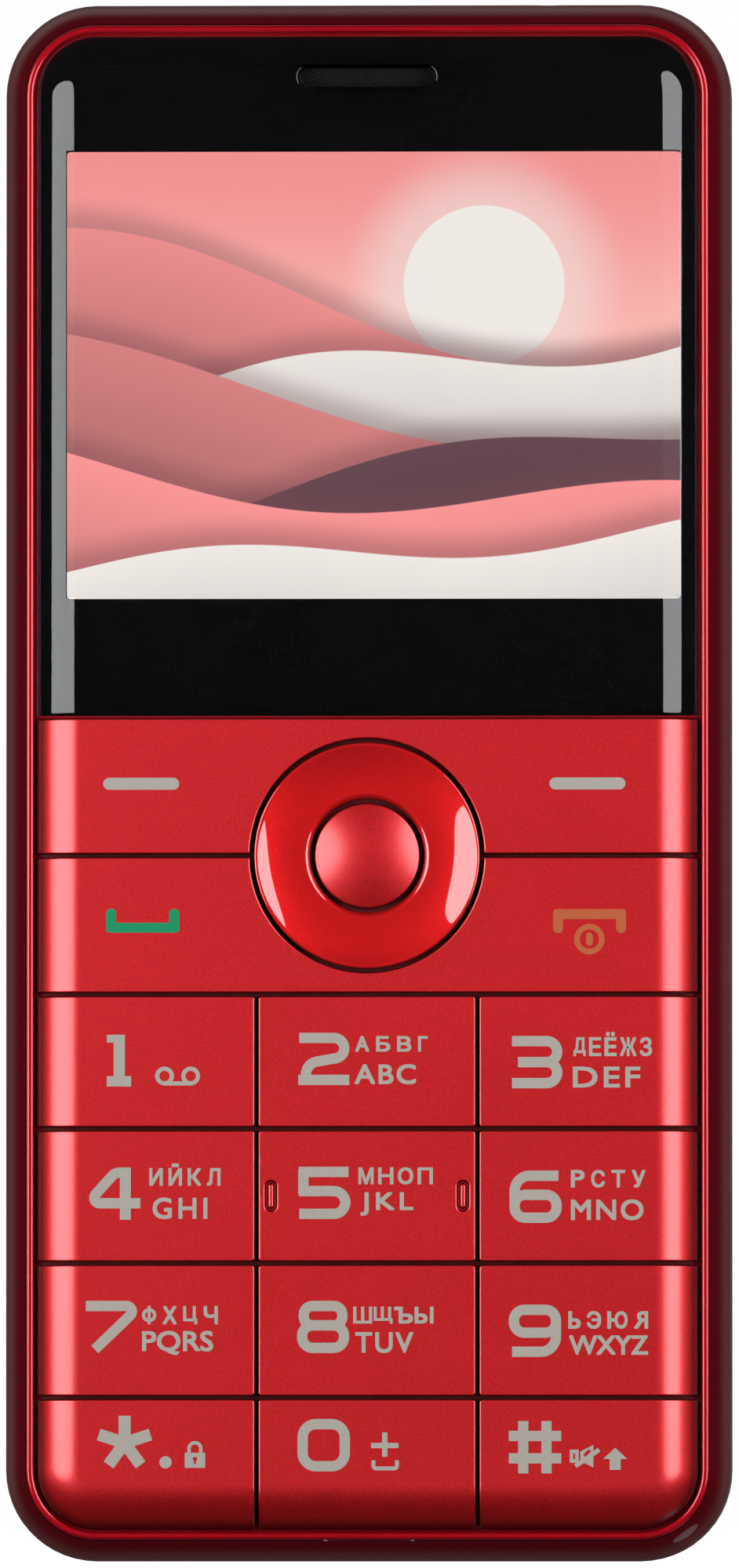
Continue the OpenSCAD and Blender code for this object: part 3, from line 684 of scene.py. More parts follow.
def stamped(name, tone, roughness):
    """Rolled and stamped sheet metal: brushed lines and faint stains."""
    if name in bpy.data.materials:
        return bpy.data.materials[name]
    made, tree, shader, place = finish_of(name)
    lines = node_to(tree, "Mapping", {"Vector": place, "Scale": (1, 1, 14)}).outputs[0]
    brushed = placed(tree, grain_effect(), Vector=lines, Size=0.5, Depth=0.12)
    stain = placed(tree, handling_effect(), Vector=place, Size=5.0)
    mixed = blend(tree, stain["Mask"], scaled(tone, 1.05), scaled(tone, 0.8))
    set_all(tree, shader, Base_Color=mixed, Metallic=1.0, Normal=brushed["Normal"],
            Roughness=times_plus(tree, brushed["Mask"], 0.14, roughness))
    return made


def picture_box():
    """Lowest and highest corner of the visible picture, lying on its back, in millimetres."""
    low, high = box("lcd_panel")
    side, top = sizes("picture_side"), high.y - sizes("picture_top")
    return (Vector((low.x + side, top - sizes("picture_height"))), Vector((high.x - side, top)))


def lens_finish():
    """Hard-coated lens, printed from behind: its coat mirrors the room except over the bonded display."""
    made, tree, shader, place = finish_of("Clear lens")
    smudge = placed(tree, handling_effect(), Vector=place, Size=18.0)
    axes = node_to(tree, "SeparateXYZ", {0: place})
    low, high = (corner * MM for corner in picture_box())
    middle, half = (low + high) / 2, (high - low) / 2
    across = calculate(tree, "ABSOLUTE", calculate(tree, "SUBTRACT", axes.outputs["X"], middle.x))
    along = calculate(tree, "ABSOLUTE", calculate(tree, "SUBTRACT", axes.outputs["Z"], middle.y))
    within = calculate(tree, "MULTIPLY", calculate(tree, "LESS_THAN", across, half.x),
                       calculate(tree, "LESS_THAN", along, half.y))
    bonded, deep = 0.94, 0.4
    outer = times_plus(tree, within, -bonded, 1.0)
    front = calculate(tree, "LESS_THAN", axes.outputs["Y"], CAD_BOX[1].y - (LENS_LOW.z + deep) * MM)
    set_all(tree, shader, Base_Color=(0.97, 0.97, 0.98, 1), IOR=1.02, Transmission_Weight=1.0,
            Coat_Weight=calculate(tree, "MULTIPLY", front, outer), Coat_IOR=1.5, Coat_Roughness=0.015,
            Roughness=times_plus(tree, smudge["Mask"], 0.004, 0.002))
    return made


def window_glass():
    """Clear hard plastic, with the faintest wiping marks in its gloss."""
    made, tree, shader, place = finish_of("Camera window")
    smudge = placed(tree, handling_effect(), Vector=place, Size=4.0)
    set_all(tree, shader, Base_Color=(0.97, 0.97, 0.98, 1), IOR=1.5, Transmission_Weight=1.0,
            Roughness=times_plus(tree, smudge["Mask"], 0.02, 0.004))
    return made


def coated_glass():
    """Dark camera glass with a violet coating that wanders over it."""
    made, tree, shader, place = finish_of("Coated glass")
    smudge = placed(tree, handling_effect(), Vector=place, Size=2.0)
    tone = blend(tree, smudge["Mask"], (0.012, 0.008, 0.03, 1), (0.03, 0.01, 0.045, 1))
    set_all(tree, shader, Base_Color=tone, Coat_Weight=1.0, Coat_Roughness=0.01, IOR=1.6,
            Roughness=times_plus(tree, smudge["Mask"], 0.03, 0.02))
    return made


def black_print():
    """Opaque ink on the back of a lens, which has no surface of its own to mirror anything."""
    return moulded("Black print", tint(6, 6, 7), 0.5, spread=0.2, Specular_IOR_Level=0.0)


def black_plastic():
    return moulded("Black plastic", tint(16, 16, 18), 0.35)


def grey_plastic():
    return moulded("Inner grey plastic", shade("plastic_grey"), 0.45)


def tinned_sheet():
    return stamped("Tinned sheet", tint(196, 196, 192), 0.24)


def gold_plate():
    return stamped("Gold plate", tint(214, 172, 88), 0.18)


def mesh_finish():
    return moulded("Black woven mesh", tint(34, 34, 37), 0.4, Metallic=0.3)


def printed(name, tone):
    """Silk-screened ink: a little uneven, with a dull surface."""
    return moulded(name, tone, 0.42, size=0.11, depth=0.2, spread=0.06, Specular_IOR_Level=0.15)


def board_finish():
    """Solder mask over copper tracks."""
    made, tree, shader, place = finish_of("Circuit board")
    in_tracks = node_to(tree, "Mapping", {"Vector": place, "Scale": (900, 900, 900)}).outputs[0]
    tracks = node_to(tree, "TexBrick", {"Vector": in_tracks, "Scale": 1.0, "Mortar Size": 0.06,
                                        "Color1": BLACK, "Color2": BLACK, "Mortar": WHITE})
    grain = placed(tree, grain_effect(), Vector=place, Size=0.3, Depth=0.2)
    mask = node_to(tree, "RGBToBW", {0: tracks.outputs[0]}).outputs[0]
    green = blend(tree, mask, tint(20, 66, 44), tint(46, 104, 66))
    bump = node_to(tree, "Bump", {"Strength": 0.4, "Distance": 0.00003, "Height": mask,
                                  "Normal": grain["Normal"]})
    set_all(tree, shader, Base_Color=green, Normal=bump.outputs[0],
            Roughness=times_plus(tree, grain["Mask"], 0.1, 0.3))
    return made


def layer_effect():
    """One sheet of a layered paper picture: a wavy upper edge and the soft shadow that it throws."""
    if "Paper layer" in bpy.data.node_groups:
        return bpy.data.node_groups["Paper layer"]
    group, given, result = effect("Paper layer", [
        ("Below", "Color", None), ("Sheet", "Color", None), ("Across", "Float", 0.0), ("Up", "Float", 0.0),
        ("Level", "Float", 0.5), ("Swing", "Float", 0.1), ("Waves", "Float", 3.0), ("Start", "Float", 0.0),
        ("Slope", "Float", 0.0)], [("Color", "Color")])
    phase = times_plus(group, given["Across"], given["Waves"], given["Start"])
    wave = calculate(group, "SINE", phase)
    edge = times_plus(group, wave, given["Swing"], given["Level"])
    edge = times_plus(group, given["Across"], given["Slope"], edge)
    above = calculate(group, "SUBTRACT", given["Up"], edge)
    shadow = span(group, above, 0.0, 0.16, 0.45, 0.0)
    shaded = blend(group, shadow, given["Below"], (0.16, 0.05, 0.06, 1))
    lit = span(group, above, -0.5, 0.0, 0.78, 1.08, kind="LINEAR")
    sheet = vector(group, "SCALE", given["Sheet"], scale=lit)
    inside = span(group, above, 0.003, -0.003)
    feed(group, result, {"Color": blend(group, inside, shaded, sheet)})
    return group


def picture_finish():
    """The lit display: layered paper hills in coral and off-white under a coral sky, with fine pixel rows."""
    made, tree, shader, place = finish_of("Lit display")
    low, high = (corner * MM for corner in picture_box())
    centre, half = (low + high) / 2, (high - low) / 2
    axes = node_to(tree, "SeparateXYZ", {0: place})
    side = calculate(tree, "SUBTRACT", axes.outputs["X"], centre.x)
    rise = calculate(tree, "SUBTRACT", axes.outputs["Z"], centre.y)
    across, up = calculate(tree, "DIVIDE", side, half.x), calculate(tree, "DIVIDE", rise, half.y)
    coral, pale, dark = shade("picture_coral"), shade("picture_pale"), shade("picture_dark")
    tone = blend(tree, span(tree, up, -0.1, 1.0), tint(250, 186, 178), coral)
    # A pale round sun with a soft glow, right of the middle
    sun_x = calculate(tree, "SUBTRACT", side, half.x * 0.36)
    sun_y = calculate(tree, "SUBTRACT", rise, half.y * 0.4)
    away = calculate(tree, "SQRT", calculate(tree, "ADD", calculate(tree, "MULTIPLY", sun_x, sun_x),
                                             calculate(tree, "MULTIPLY", sun_y, sun_y)))
    radius = half.y * 0.36
    tone = blend(tree, span(tree, away, radius, radius * 1.9, 0.5, 0.0), tone, scaled(pale, 1.1))
    tone = blend(tree, span(tree, away, radius * 1.01, radius * 0.99), tone, scaled(pale, 1.12))
    # Colour, level, swing, waves, start and slope of each sheet, from the farthest to the nearest
    sheets = [(scaled(coral, 0.86), 0.3, 0.16, 2.6, 3.7, -0.22), (pale, 0.02, 0.12, 3.1, 2.3, 0.2),
              (scaled(coral, 0.7), -0.12, 0.15, 2.2, 4.0, -0.16), (dark, -0.46, 0.1, 2.9, 1.0, 0.24),
              (coral, -0.5, 0.13, 2.5, 5.2, -0.1), (scaled(pale, 1.04), -0.78, 0.07, 3.4, 3.4, 0.1)]
    for sheet, level, swing, waves, start, slope in sheets:
        tone = placed(tree, layer_effect(), Below=tone, Sheet=sheet, Across=across, Up=up, Level=level,
                      Swing=swing, Waves=waves, Start=start, Slope=slope)["Color"]
    rows = node_to(tree, "TexWave", {"Vector": place, "Scale": 2200.0}, bands_direction="Z").outputs["Fac"]
    tone = blend(tree, calculate(tree, "MULTIPLY", rows, 0.04), tone, BLACK)
    set_all(tree, shader, Base_Color=(0.01, 0.01, 0.012, 1), Emission_Color=tone, Emission_Strength=1.05,
            Roughness=0.35, Specular_IOR_Level=0.0)
    return made


# The moulded front

def shoulder_profile(low):
    """The front's profile from the flat's edge, through the blend and over the shoulder, down to a level."""
    width, radius, small = sizes("shoulder_width"), sizes("shoulder_radius"), sizes("shoulder_blend")
    start = bpy.context.scene.phone_sizes.shoulder_break
    edge = sizes("corner_radius") - FACE_INSET
    middle = edge - width - radius * math.sin(start)
    level = FRONT - radius * math.cos(start)
    drop = FRONT - small - level
    reach = math.sqrt((radius - small) ** 2 - drop ** 2)
    touch = math.degrees(math.atan2(reach, drop))
    end = math.degrees(math.asin((edge - middle) / radius))
    return (arc(middle + reach, FRONT - small, small, 90, 90 - touch, 6)
            + arc(middle, level, radius, 90 - touch, 90 - end, 20)[1:] + [(edge, low)])


def pillow(name, low):
    """The whole pillow-shaped front as one solid, down to a level."""
    piece = carried_round(name, shoulder_profile(low))
    bpy.ops.mesh.fill_holes(sides=0)
    weld()
    bpy.ops.object.mode_set(mode="OBJECT")
    return piece


def duplicate(piece, name):
    copy = bpy.data.objects.new(name, piece.data.copy())
    copy.data.name = name
    bpy.context.scene.collection.objects.link(copy)
    return copy


def is_wall(normal):
    return abs(normal.z) < UPRIGHT


def round_corners(piece):
    """Rounds the upright corners of a cut cap."""
    pick_edges(piece, lambda e, a, b: is_wall(a) and is_wall(b) and a.dot(b) < 0.3
               and (e.verts[0].co - e.verts[1].co).xy.length < TINY)
    bpy.ops.mesh.bevel(offset=sizes("corner_rounding"), segments=5, affect="EDGES", clamp_overlap=False)


def round_rim(piece, width):
    """Rounds the upper edges of a cap."""
    pick_edges(piece, lambda e, a, b: is_wall(a) != is_wall(b) and max(a.z, b.z) > UPRIGHT)
    bpy.ops.mesh.bevel(offset=width, segments=4, affect="EDGES", clamp_overlap=False)


def cap_from(front, node):
    """Cuts one cap out of the pillow at the borders of its CAD node."""
    low, high = box(node)
    piece = duplicate(front, node + "_cap")
    pick(piece, "EDIT")
    limits = (KEY_LOW.x, KEY_HIGH.x), (FACE_INSET, BODY_HIGH.y - FACE_INSET)
    for axis, (first, last) in enumerate(limits):
        for border, limit, side in ((low[axis], first, -1), (high[axis], last, 1)):
            if (limit - border) * side > NEAR:
                place, normal = Vector((0, 0, 0)), Vector((0, 0, 0))
                place[axis], normal[axis] = border, side
                cut(place, normal)
    return piece


def finish_cap(piece, node, level, *columns):
    """Rounds a cap's upper edges, adds its pins at some columns' middles and dresses it."""
    low, high = box(node)
    pick(piece, "EDIT")
    round_rim(piece, sizes("edge_rounding"))
    for column in columns:
        pin = cylinder(column * COLUMN, (low.y + high.y) / 2, sizes("plunger_radius"), PLUNGER_LEVEL,
                       level + PIN_OVERLAP, 32)
        combine(piece, pin, "UNION")
    dress(piece, satin_paint(), node, "satin_red", node)


class PHONE_OT_number_keys(bpy.types.Operator):
    """Model the twelve number keys from one pillow-shaped front"""
    bl_idname = "phone.number_keys"
    bl_label = "Number keys"

    def execute(self, context):
        level = FRONT - sizes("cap_thickness")
        front = pillow("front_blank", level)
        for index, node in enumerate(NUMBER_KEYS):
            piece = cap_from(front, node)
            round_corners(piece)
            if node == "key_5":
                self.touch_marks(piece, *box(node))
            finish_cap(piece, node, level, index % 3 - 1)
        bpy.data.objects.remove(front)
        return {"FINISHED"}

    def touch_marks(self, piece, low, high):
        """A groove round an upright oval near each side of the middle key."""
        inset, wide, tall, corner, groove, depth = 0.98, 0.65, 2.1, 0.324, 0.2, 0.2
        foot = (low.y + high.y - tall) / 2
        for x in (inset - high.x, high.x - inset):
            combine(piece, pen("groove", x, foot, 0, groove, ring_moves(wide, tall, corner), FRONT - depth,
                               FRONT + 0.5))


class PHONE_OT_key_bars(bpy.types.Operator):
    """Model the two rockers that share the navigation ring's opening"""
    bl_idname = "phone.key_bars"
    bl_label = "Soft key and call key bars"

    def execute(self, context):
        level = FRONT - sizes("cap_thickness")
        front = pillow("bar_blank", level)
        for node in ("soft_key_bar", "call_key_bar"):
            piece = cap_from(front, node)
            combine(piece, cylinder(0, NAV_Y, RING_HIGH.x + NAV_GAP, level - 1, THROUGH[1], 160))
            finish_cap(piece, node, level, -1, 1)
        bpy.data.objects.remove(front)
        return {"FINISHED"}


class PHONE_OT_navigation(bpy.types.Operator):
    """Turn the dished navigation ring and the domed middle button"""
    bl_idname = "phone.navigation"
    bl_label = "Navigation ring and middle button"

    def execute(self, context):
        outer, inner = RING_HIGH.x, BUTTON_HIGH.x + NAV_GAP
        edge, lip, depth = sizes("ring_edge"), sizes("lip_edge"), sizes("dish_depth")
        low = FRONT - RING_HEIGHT
        flat = inner + edge
        reach = outer - sizes("lip_width") - flat
        bowl = (reach ** 2 + depth ** 2) / (2 * depth)
        end = math.degrees(math.asin(reach / bowl))
        floor = FRONT - depth
        profile = [(inner, low)] + arc(flat, floor - edge, edge, 180, 90, 10)
        profile += arc(flat, floor + bowl, bowl, -90, -90 + end, 24)[1:]
        profile += arc(outer - lip, FRONT - lip, lip, 90, 0, 8) + [(outer, low), (inner, low)]
        ring = turned("navigation_ring", profile, 0, NAV_Y, 192)
        dress(ring, ring_paint(), "nav_ring", "gloss_ring", "nav_ring")

        radius, rise = BUTTON_HIGH.x, sizes("dome_rise")
        dome = (radius ** 2 + rise ** 2) / (2 * rise)
        top, roll, skirt, pin = BUTTON_HIGH.z, BUTTON_ROLL, FRONT - BUTTON_SKIRT, sizes("plunger_radius")
        far = math.degrees(math.asin((radius - roll) / dome))
        crown = arc(0, top - dome, dome, 90, 90 - far, 16)
        crown[0] = (0.0, top)
        shoulder = crown[-1][1] - roll
        profile = crown + arc(radius - roll, shoulder, roll, 90 - far, 0, 6)[1:]
        profile += [(radius, skirt), (pin, skirt), (pin, PLUNGER_LEVEL), (0, PLUNGER_LEVEL)]
        button = turned("middle_button", profile, 0, NAV_Y, 128)
        dress(button, satin_paint(), "ok_button", "satin_red", "ok_button")
        return {"FINISHED"}


class PHONE_OT_display(bpy.types.Operator):
    """Model the clear lens, its sound slot and mesh, and light the display"""
    bl_idname = "phone.display"
    bl_label = "Lens and display"

    def execute(self, context):
        slot_low, slot_high = box("earpiece_mesh")
        middle = (slot_low.y + slot_high.y) / 2
        width, height = slot_high.x - slot_low.x + SLOT_ROOM, slot_high.y - slot_low.y + SLOT_ROOM
        level = LENS_LOW.z + LENS_LIFT
        lens = pillow("lens", level)
        pick(lens, "EDIT")
        cut((0, LENS_LOW.y, 0), (0, -1, 0))
        combine(lens, self.slot_tool(width, height, middle, level - 1))
        pick(lens, "EDIT")
        round_rim(lens, LENS_EDGE)
        dress(lens, lens_finish(), "chassis", "clear_lens", "display_lens")
        lens.data.materials.append(black_print())
        for face in lens.data.polygons:
            face.material_index = int(abs(face.normal.y) < UPRIGHT)

        inside = 0, middle, width - MESH_ROOM, height - MESH_ROOM
        weave = sound_mesh("earpiece_weave", *inside, (slot_low.z + slot_high.z) / 2)
        dress(weave, mesh_finish(), "chassis", "mesh", "earpiece_mesh", degrees=50, weighted=False)
        cloth = sound_cloth("earpiece_cloth", *inside, slot_low.z + CLOTH_LIFT)
        dress(cloth, black_print(), "chassis", "mesh", degrees=50, weighted=False)
        paint_node("lcd_panel", picture_finish())
        for node in ("lens_mask", "lens_tape"):
            paint_node(node, black_print())
        paint_node("lcd_frame", moulded("White plastic", tint(214, 214, 210), 0.4))
        paint_node("lcd_flex", moulded("Flexible circuit", tint(150, 96, 40), 0.35))
        return {"FINISHED"}

    def slot_tool(self, width, height, middle, low):
        """A cutter with round ends for the sound slot."""
        radius = height / 2
        tool = point("slot_tool", (-width / 2 + radius, middle - radius, low))
        for side in (1, -1):
            extrude((side * (width - 2 * radius), 0, 0))
            spin((side * (width / 2 - radius), middle, low), UP, math.pi, 16)
        weld()
        bpy.ops.mesh.edge_face_add()
        take_all()
        extrude((0, 0, 5))
        weld()
        return tool


def sheet(name, x, y, width, height, level, pitch):
    """A flat net of squares turned by an eighth, cut to a disc or to a slot with round ends."""
    deselect()
    count = int(max(width, height) * 1.5 / pitch)
    bpy.ops.mesh.primitive_grid_add(x_subdivisions=count, y_subdivisions=count, size=count * pitch)
    piece = bpy.context.object
    piece.name = piece.data.name = name
    bpy.ops.object.mode_set(mode="EDIT")
    bpy.ops.transform.rotate(value=math.pi / 4, orient_axis="Z", center_override=(0, 0, 0))
    radius, cuts = min(width, height) / 2, 24
    for step in range(cuts):
        turn = math.tau * step / cuts
        side = Vector((math.cos(turn), math.sin(turn), 0))
        corner = Vector((math.copysign(width / 2 - radius, side.x) if abs(side.x) > TINY else 0,
                         math.copysign(height / 2 - radius, side.y) if abs(side.y) > TINY else 0, 0))
        take_all()
        bpy.ops.mesh.bisect(plane_co=corner + side * radius, plane_no=side, clear_outer=True)
    take_all()
    bpy.ops.transform.translate(value=(x, y, level))
    bpy.ops.object.mode_set(mode="OBJECT")
    return piece


def sound_mesh(name, x, y, width, height, level):
    """A woven mesh of crossing wires."""
    pitch = sizes("mesh_pitch")
    piece = sheet(name, x, y, width, height, level, pitch)
    wires = piece.modifiers.new("Wires", "WIREFRAME")
    wires.thickness = pitch * 0.45
    bpy.ops.object.modifier_apply(modifier=wires.name)
    return piece


def sound_cloth(name, x, y, width, height, level):
    """A thin damping cloth, which hides what lies behind a mesh."""
    pitch, thickness = 0.5, 0.04
    piece = sheet(name, x, y, width, height, level, pitch)
    pick(piece, "EDIT")
    extrude((0, 0, -thickness))
    weld()
    return piece


# Printed legends

def strokes_of(figure):
    """Pen strokes of a large figure in a box of about 4 by 4 mm: start, heading, width and moves."""
    w = sizes("print_stroke")
    h = w / 2
    hook, loop = [2.2, (90, 1.15), 0.9], ring_moves(3.21, 1.75, 0.8)
    return {
        "1": [(0, h, 0, w, [1.86]), (0.95, 0.4, 90, 0.86, [3.56]), (0, 3.66, 0, 0.6, [0.8])],
        "2": [(0.12, 4 - h, 0, w, [2.65, (-90, 0.8), (-80, 0.76), 1.5, (80, 1.0), 0.4]),
              (0.05, h, 0, w, [3.9])],
        "3": [(0.1, 4 - h, 0, w, [2.65, (-180, 0.805), 2.2]), (2.4, 2, 0, w, [0.35, (-180, 0.805), 2.65])],
        "4": [(3.3, 4 - h, 180, w, [0.75, (48, 0.7), 1.9, (132, 0.42), 3.1]), (3.02, 0, 90, 0.84, [3.99])],
        "5": [(3.85, 4 - h, 180, w, [3.8]), (h, 3.8, -90, w, [1.9]),
              (0.05, 2.14, 0, w, [2.68, (-180, 0.872), 2.65])],
        "6": [(3.75, 4 - h, 180, w, hook), (2, h, 0, w, loop)],
        "7": [(0, 4 - h, 0, w, [3.1, (-136, 0.42), 3.75])],
        "8": [(2, 2.12, 0, w, ring_moves(2.95, 1.48, 0.66)), (2, h, 0, w, ring_moves(3.2, 1.72, 0.8))],
        "9": [(0.25, h, 0, w, hook), (2, 4 - h, 180, w, loop)],
        "0": [(2, h, 0, w, ring_moves(3.22, 3.22, 1.0))],
        "#": [(x, 0, 90, 0.78, [4]) for x in (1.1, 2.88)] + [(0, y, 0, 0.78, [4]) for y in (1.15, 2.86)],
        "*": [(2.12, 1.98, 90 + 72 * i, 0.92, [2.08]) for i in range(5)],
    }[figure]


# The box of a whole letter: left, lower, right and upper border
WHOLE = (0, 0, 1, 1)

# Letters made of plainer ones: sign, turned over across and up, and the box it fills in parts of the letter
BUILT = {"А": [("A", 1, 1, *WHOLE)], "Р": [("P", 1, 1, *WHOLE)], "Х": [("X", 1, 1, *WHOLE)],
         "Я": [("R", -1, 1, *WHOLE)], "Ь": [("P", 1, -1, *WHOLE)],
         "Ъ": [("P", 1, -1, 0.25, 0, 1, 1), ("-", 1, 1, 0, 0.84, 0.42, 1)],
         "Ы": [("P", 1, -1, 0, 0, 0.66, 1), ("I", 1, 1, 0.86, 0, 1, 1)],
         "Ю": [("I", 1, 1, 0, 0, 0.14, 1), ("-", 1, 1, 0.1, 0.43, 0.45, 0.57), ("O", 1, 1, 0.38, 0, 1, 1)],
         "Ф": [("O", 1, 1, 0, 0.14, 1, 0.86), ("I", 1, 1, 0.43, 0, 0.57, 1)],
         "Й": [("И", 1, 1, *WHOLE), ("-", 1, 1, 0.27, 1.13, 0.73, 1.28)],
         "Ё": [("E", 1, 1, *WHOLE), (".", 1, 1, 0.14, 1.12, 0.38, 1.3), (".", 1, 1, 0.6, 1.12, 0.84, 1.3)]}

# Widths of letters that are wider or narrower than most
WIDTHS = {"Г": 0.65, "Ж": 1.4, "Ю": 1.45, "Ь": 0.85}


def letter(text, spacing, across, up, x0, y0, x1, y1, low, high):
    """Letters stretched to fill a box, turned over where across or up is -1."""
    deselect()
    bpy.ops.object.text_add()
    row = bpy.context.object
    row.data.body = text
    row.data.space_character = spacing
    row.data.extrude = TEXT_DEPTH / 2
    row.data.resolution_u = 4
    bpy.ops.object.convert(target="MESH")
    piece = bpy.context.object
    corners = [v.co for v in piece.data.vertices]
    left, right = min(c.x for c in corners), max(c.x for c in corners)
    foot, head = min(c.y for c in corners), max(c.y for c in corners)
    wide, tall = across * (x1 - x0) / (right - left), up * (y1 - y0) / (head - foot)
    piece.scale = (wide, tall, (high - low) / TEXT_DEPTH)
    piece.location = ((x0 + x1 - (left + right) * wide) / 2, (y0 + y1 - (foot + head) * tall) / 2,
                      (low + high) / 2)
    settle()
    pick(piece, "EDIT")
    bpy.ops.mesh.remove_doubles(threshold=0.0001)
    bpy.ops.mesh.normals_make_consistent(inside=False)
    return piece


def letters(name, text, gap, x0, y0, x1, y1, low, high):
    """A row of small letters that fills a box, made bold by four copies a little apart."""
    bold = sizes("letter_bold")
    x, foot, right, head = x0 + bold, y0 + bold, x1 - bold, y1 - bold
    tall, parts = head - foot, []
    if text.isascii():
        parts.append(letter(text, gap, 1, 1, x, foot, right, head, low, high))
    else:
        widths = [WIDTHS.get(sign, 1.0) for sign in text]
        unit = (right - x) / (sum(widths) + gap * (len(text) - 1))
        for sign, width in zip(text, widths):
            wide = width * unit
            for index, made_of in enumerate(BUILT.get(sign, [(sign, 1, 1, *WHOLE)])):
                plain, across, up, u0, v0, u1, v1 = made_of
                parts.append(letter(plain, 1, across, up, x + u0 * wide, foot + v0 * tall, x + u1 * wide,
                                    foot + v1 * tall, low, high - index * BOLD_STEP))
            x += wide + gap * unit
    piece = join(parts, name)
    pick(piece, "EDIT")
    bpy.ops.transform.translate(value=(-bold, -bold, 0))
    for aside, up in ((1, 0), (-1, 1), (1, 0)):
        bpy.ops.mesh.duplicate()
        bpy.ops.transform.translate(value=(2 * bold * aside, 2 * bold * up, -3 * BOLD_STEP))
    return piece


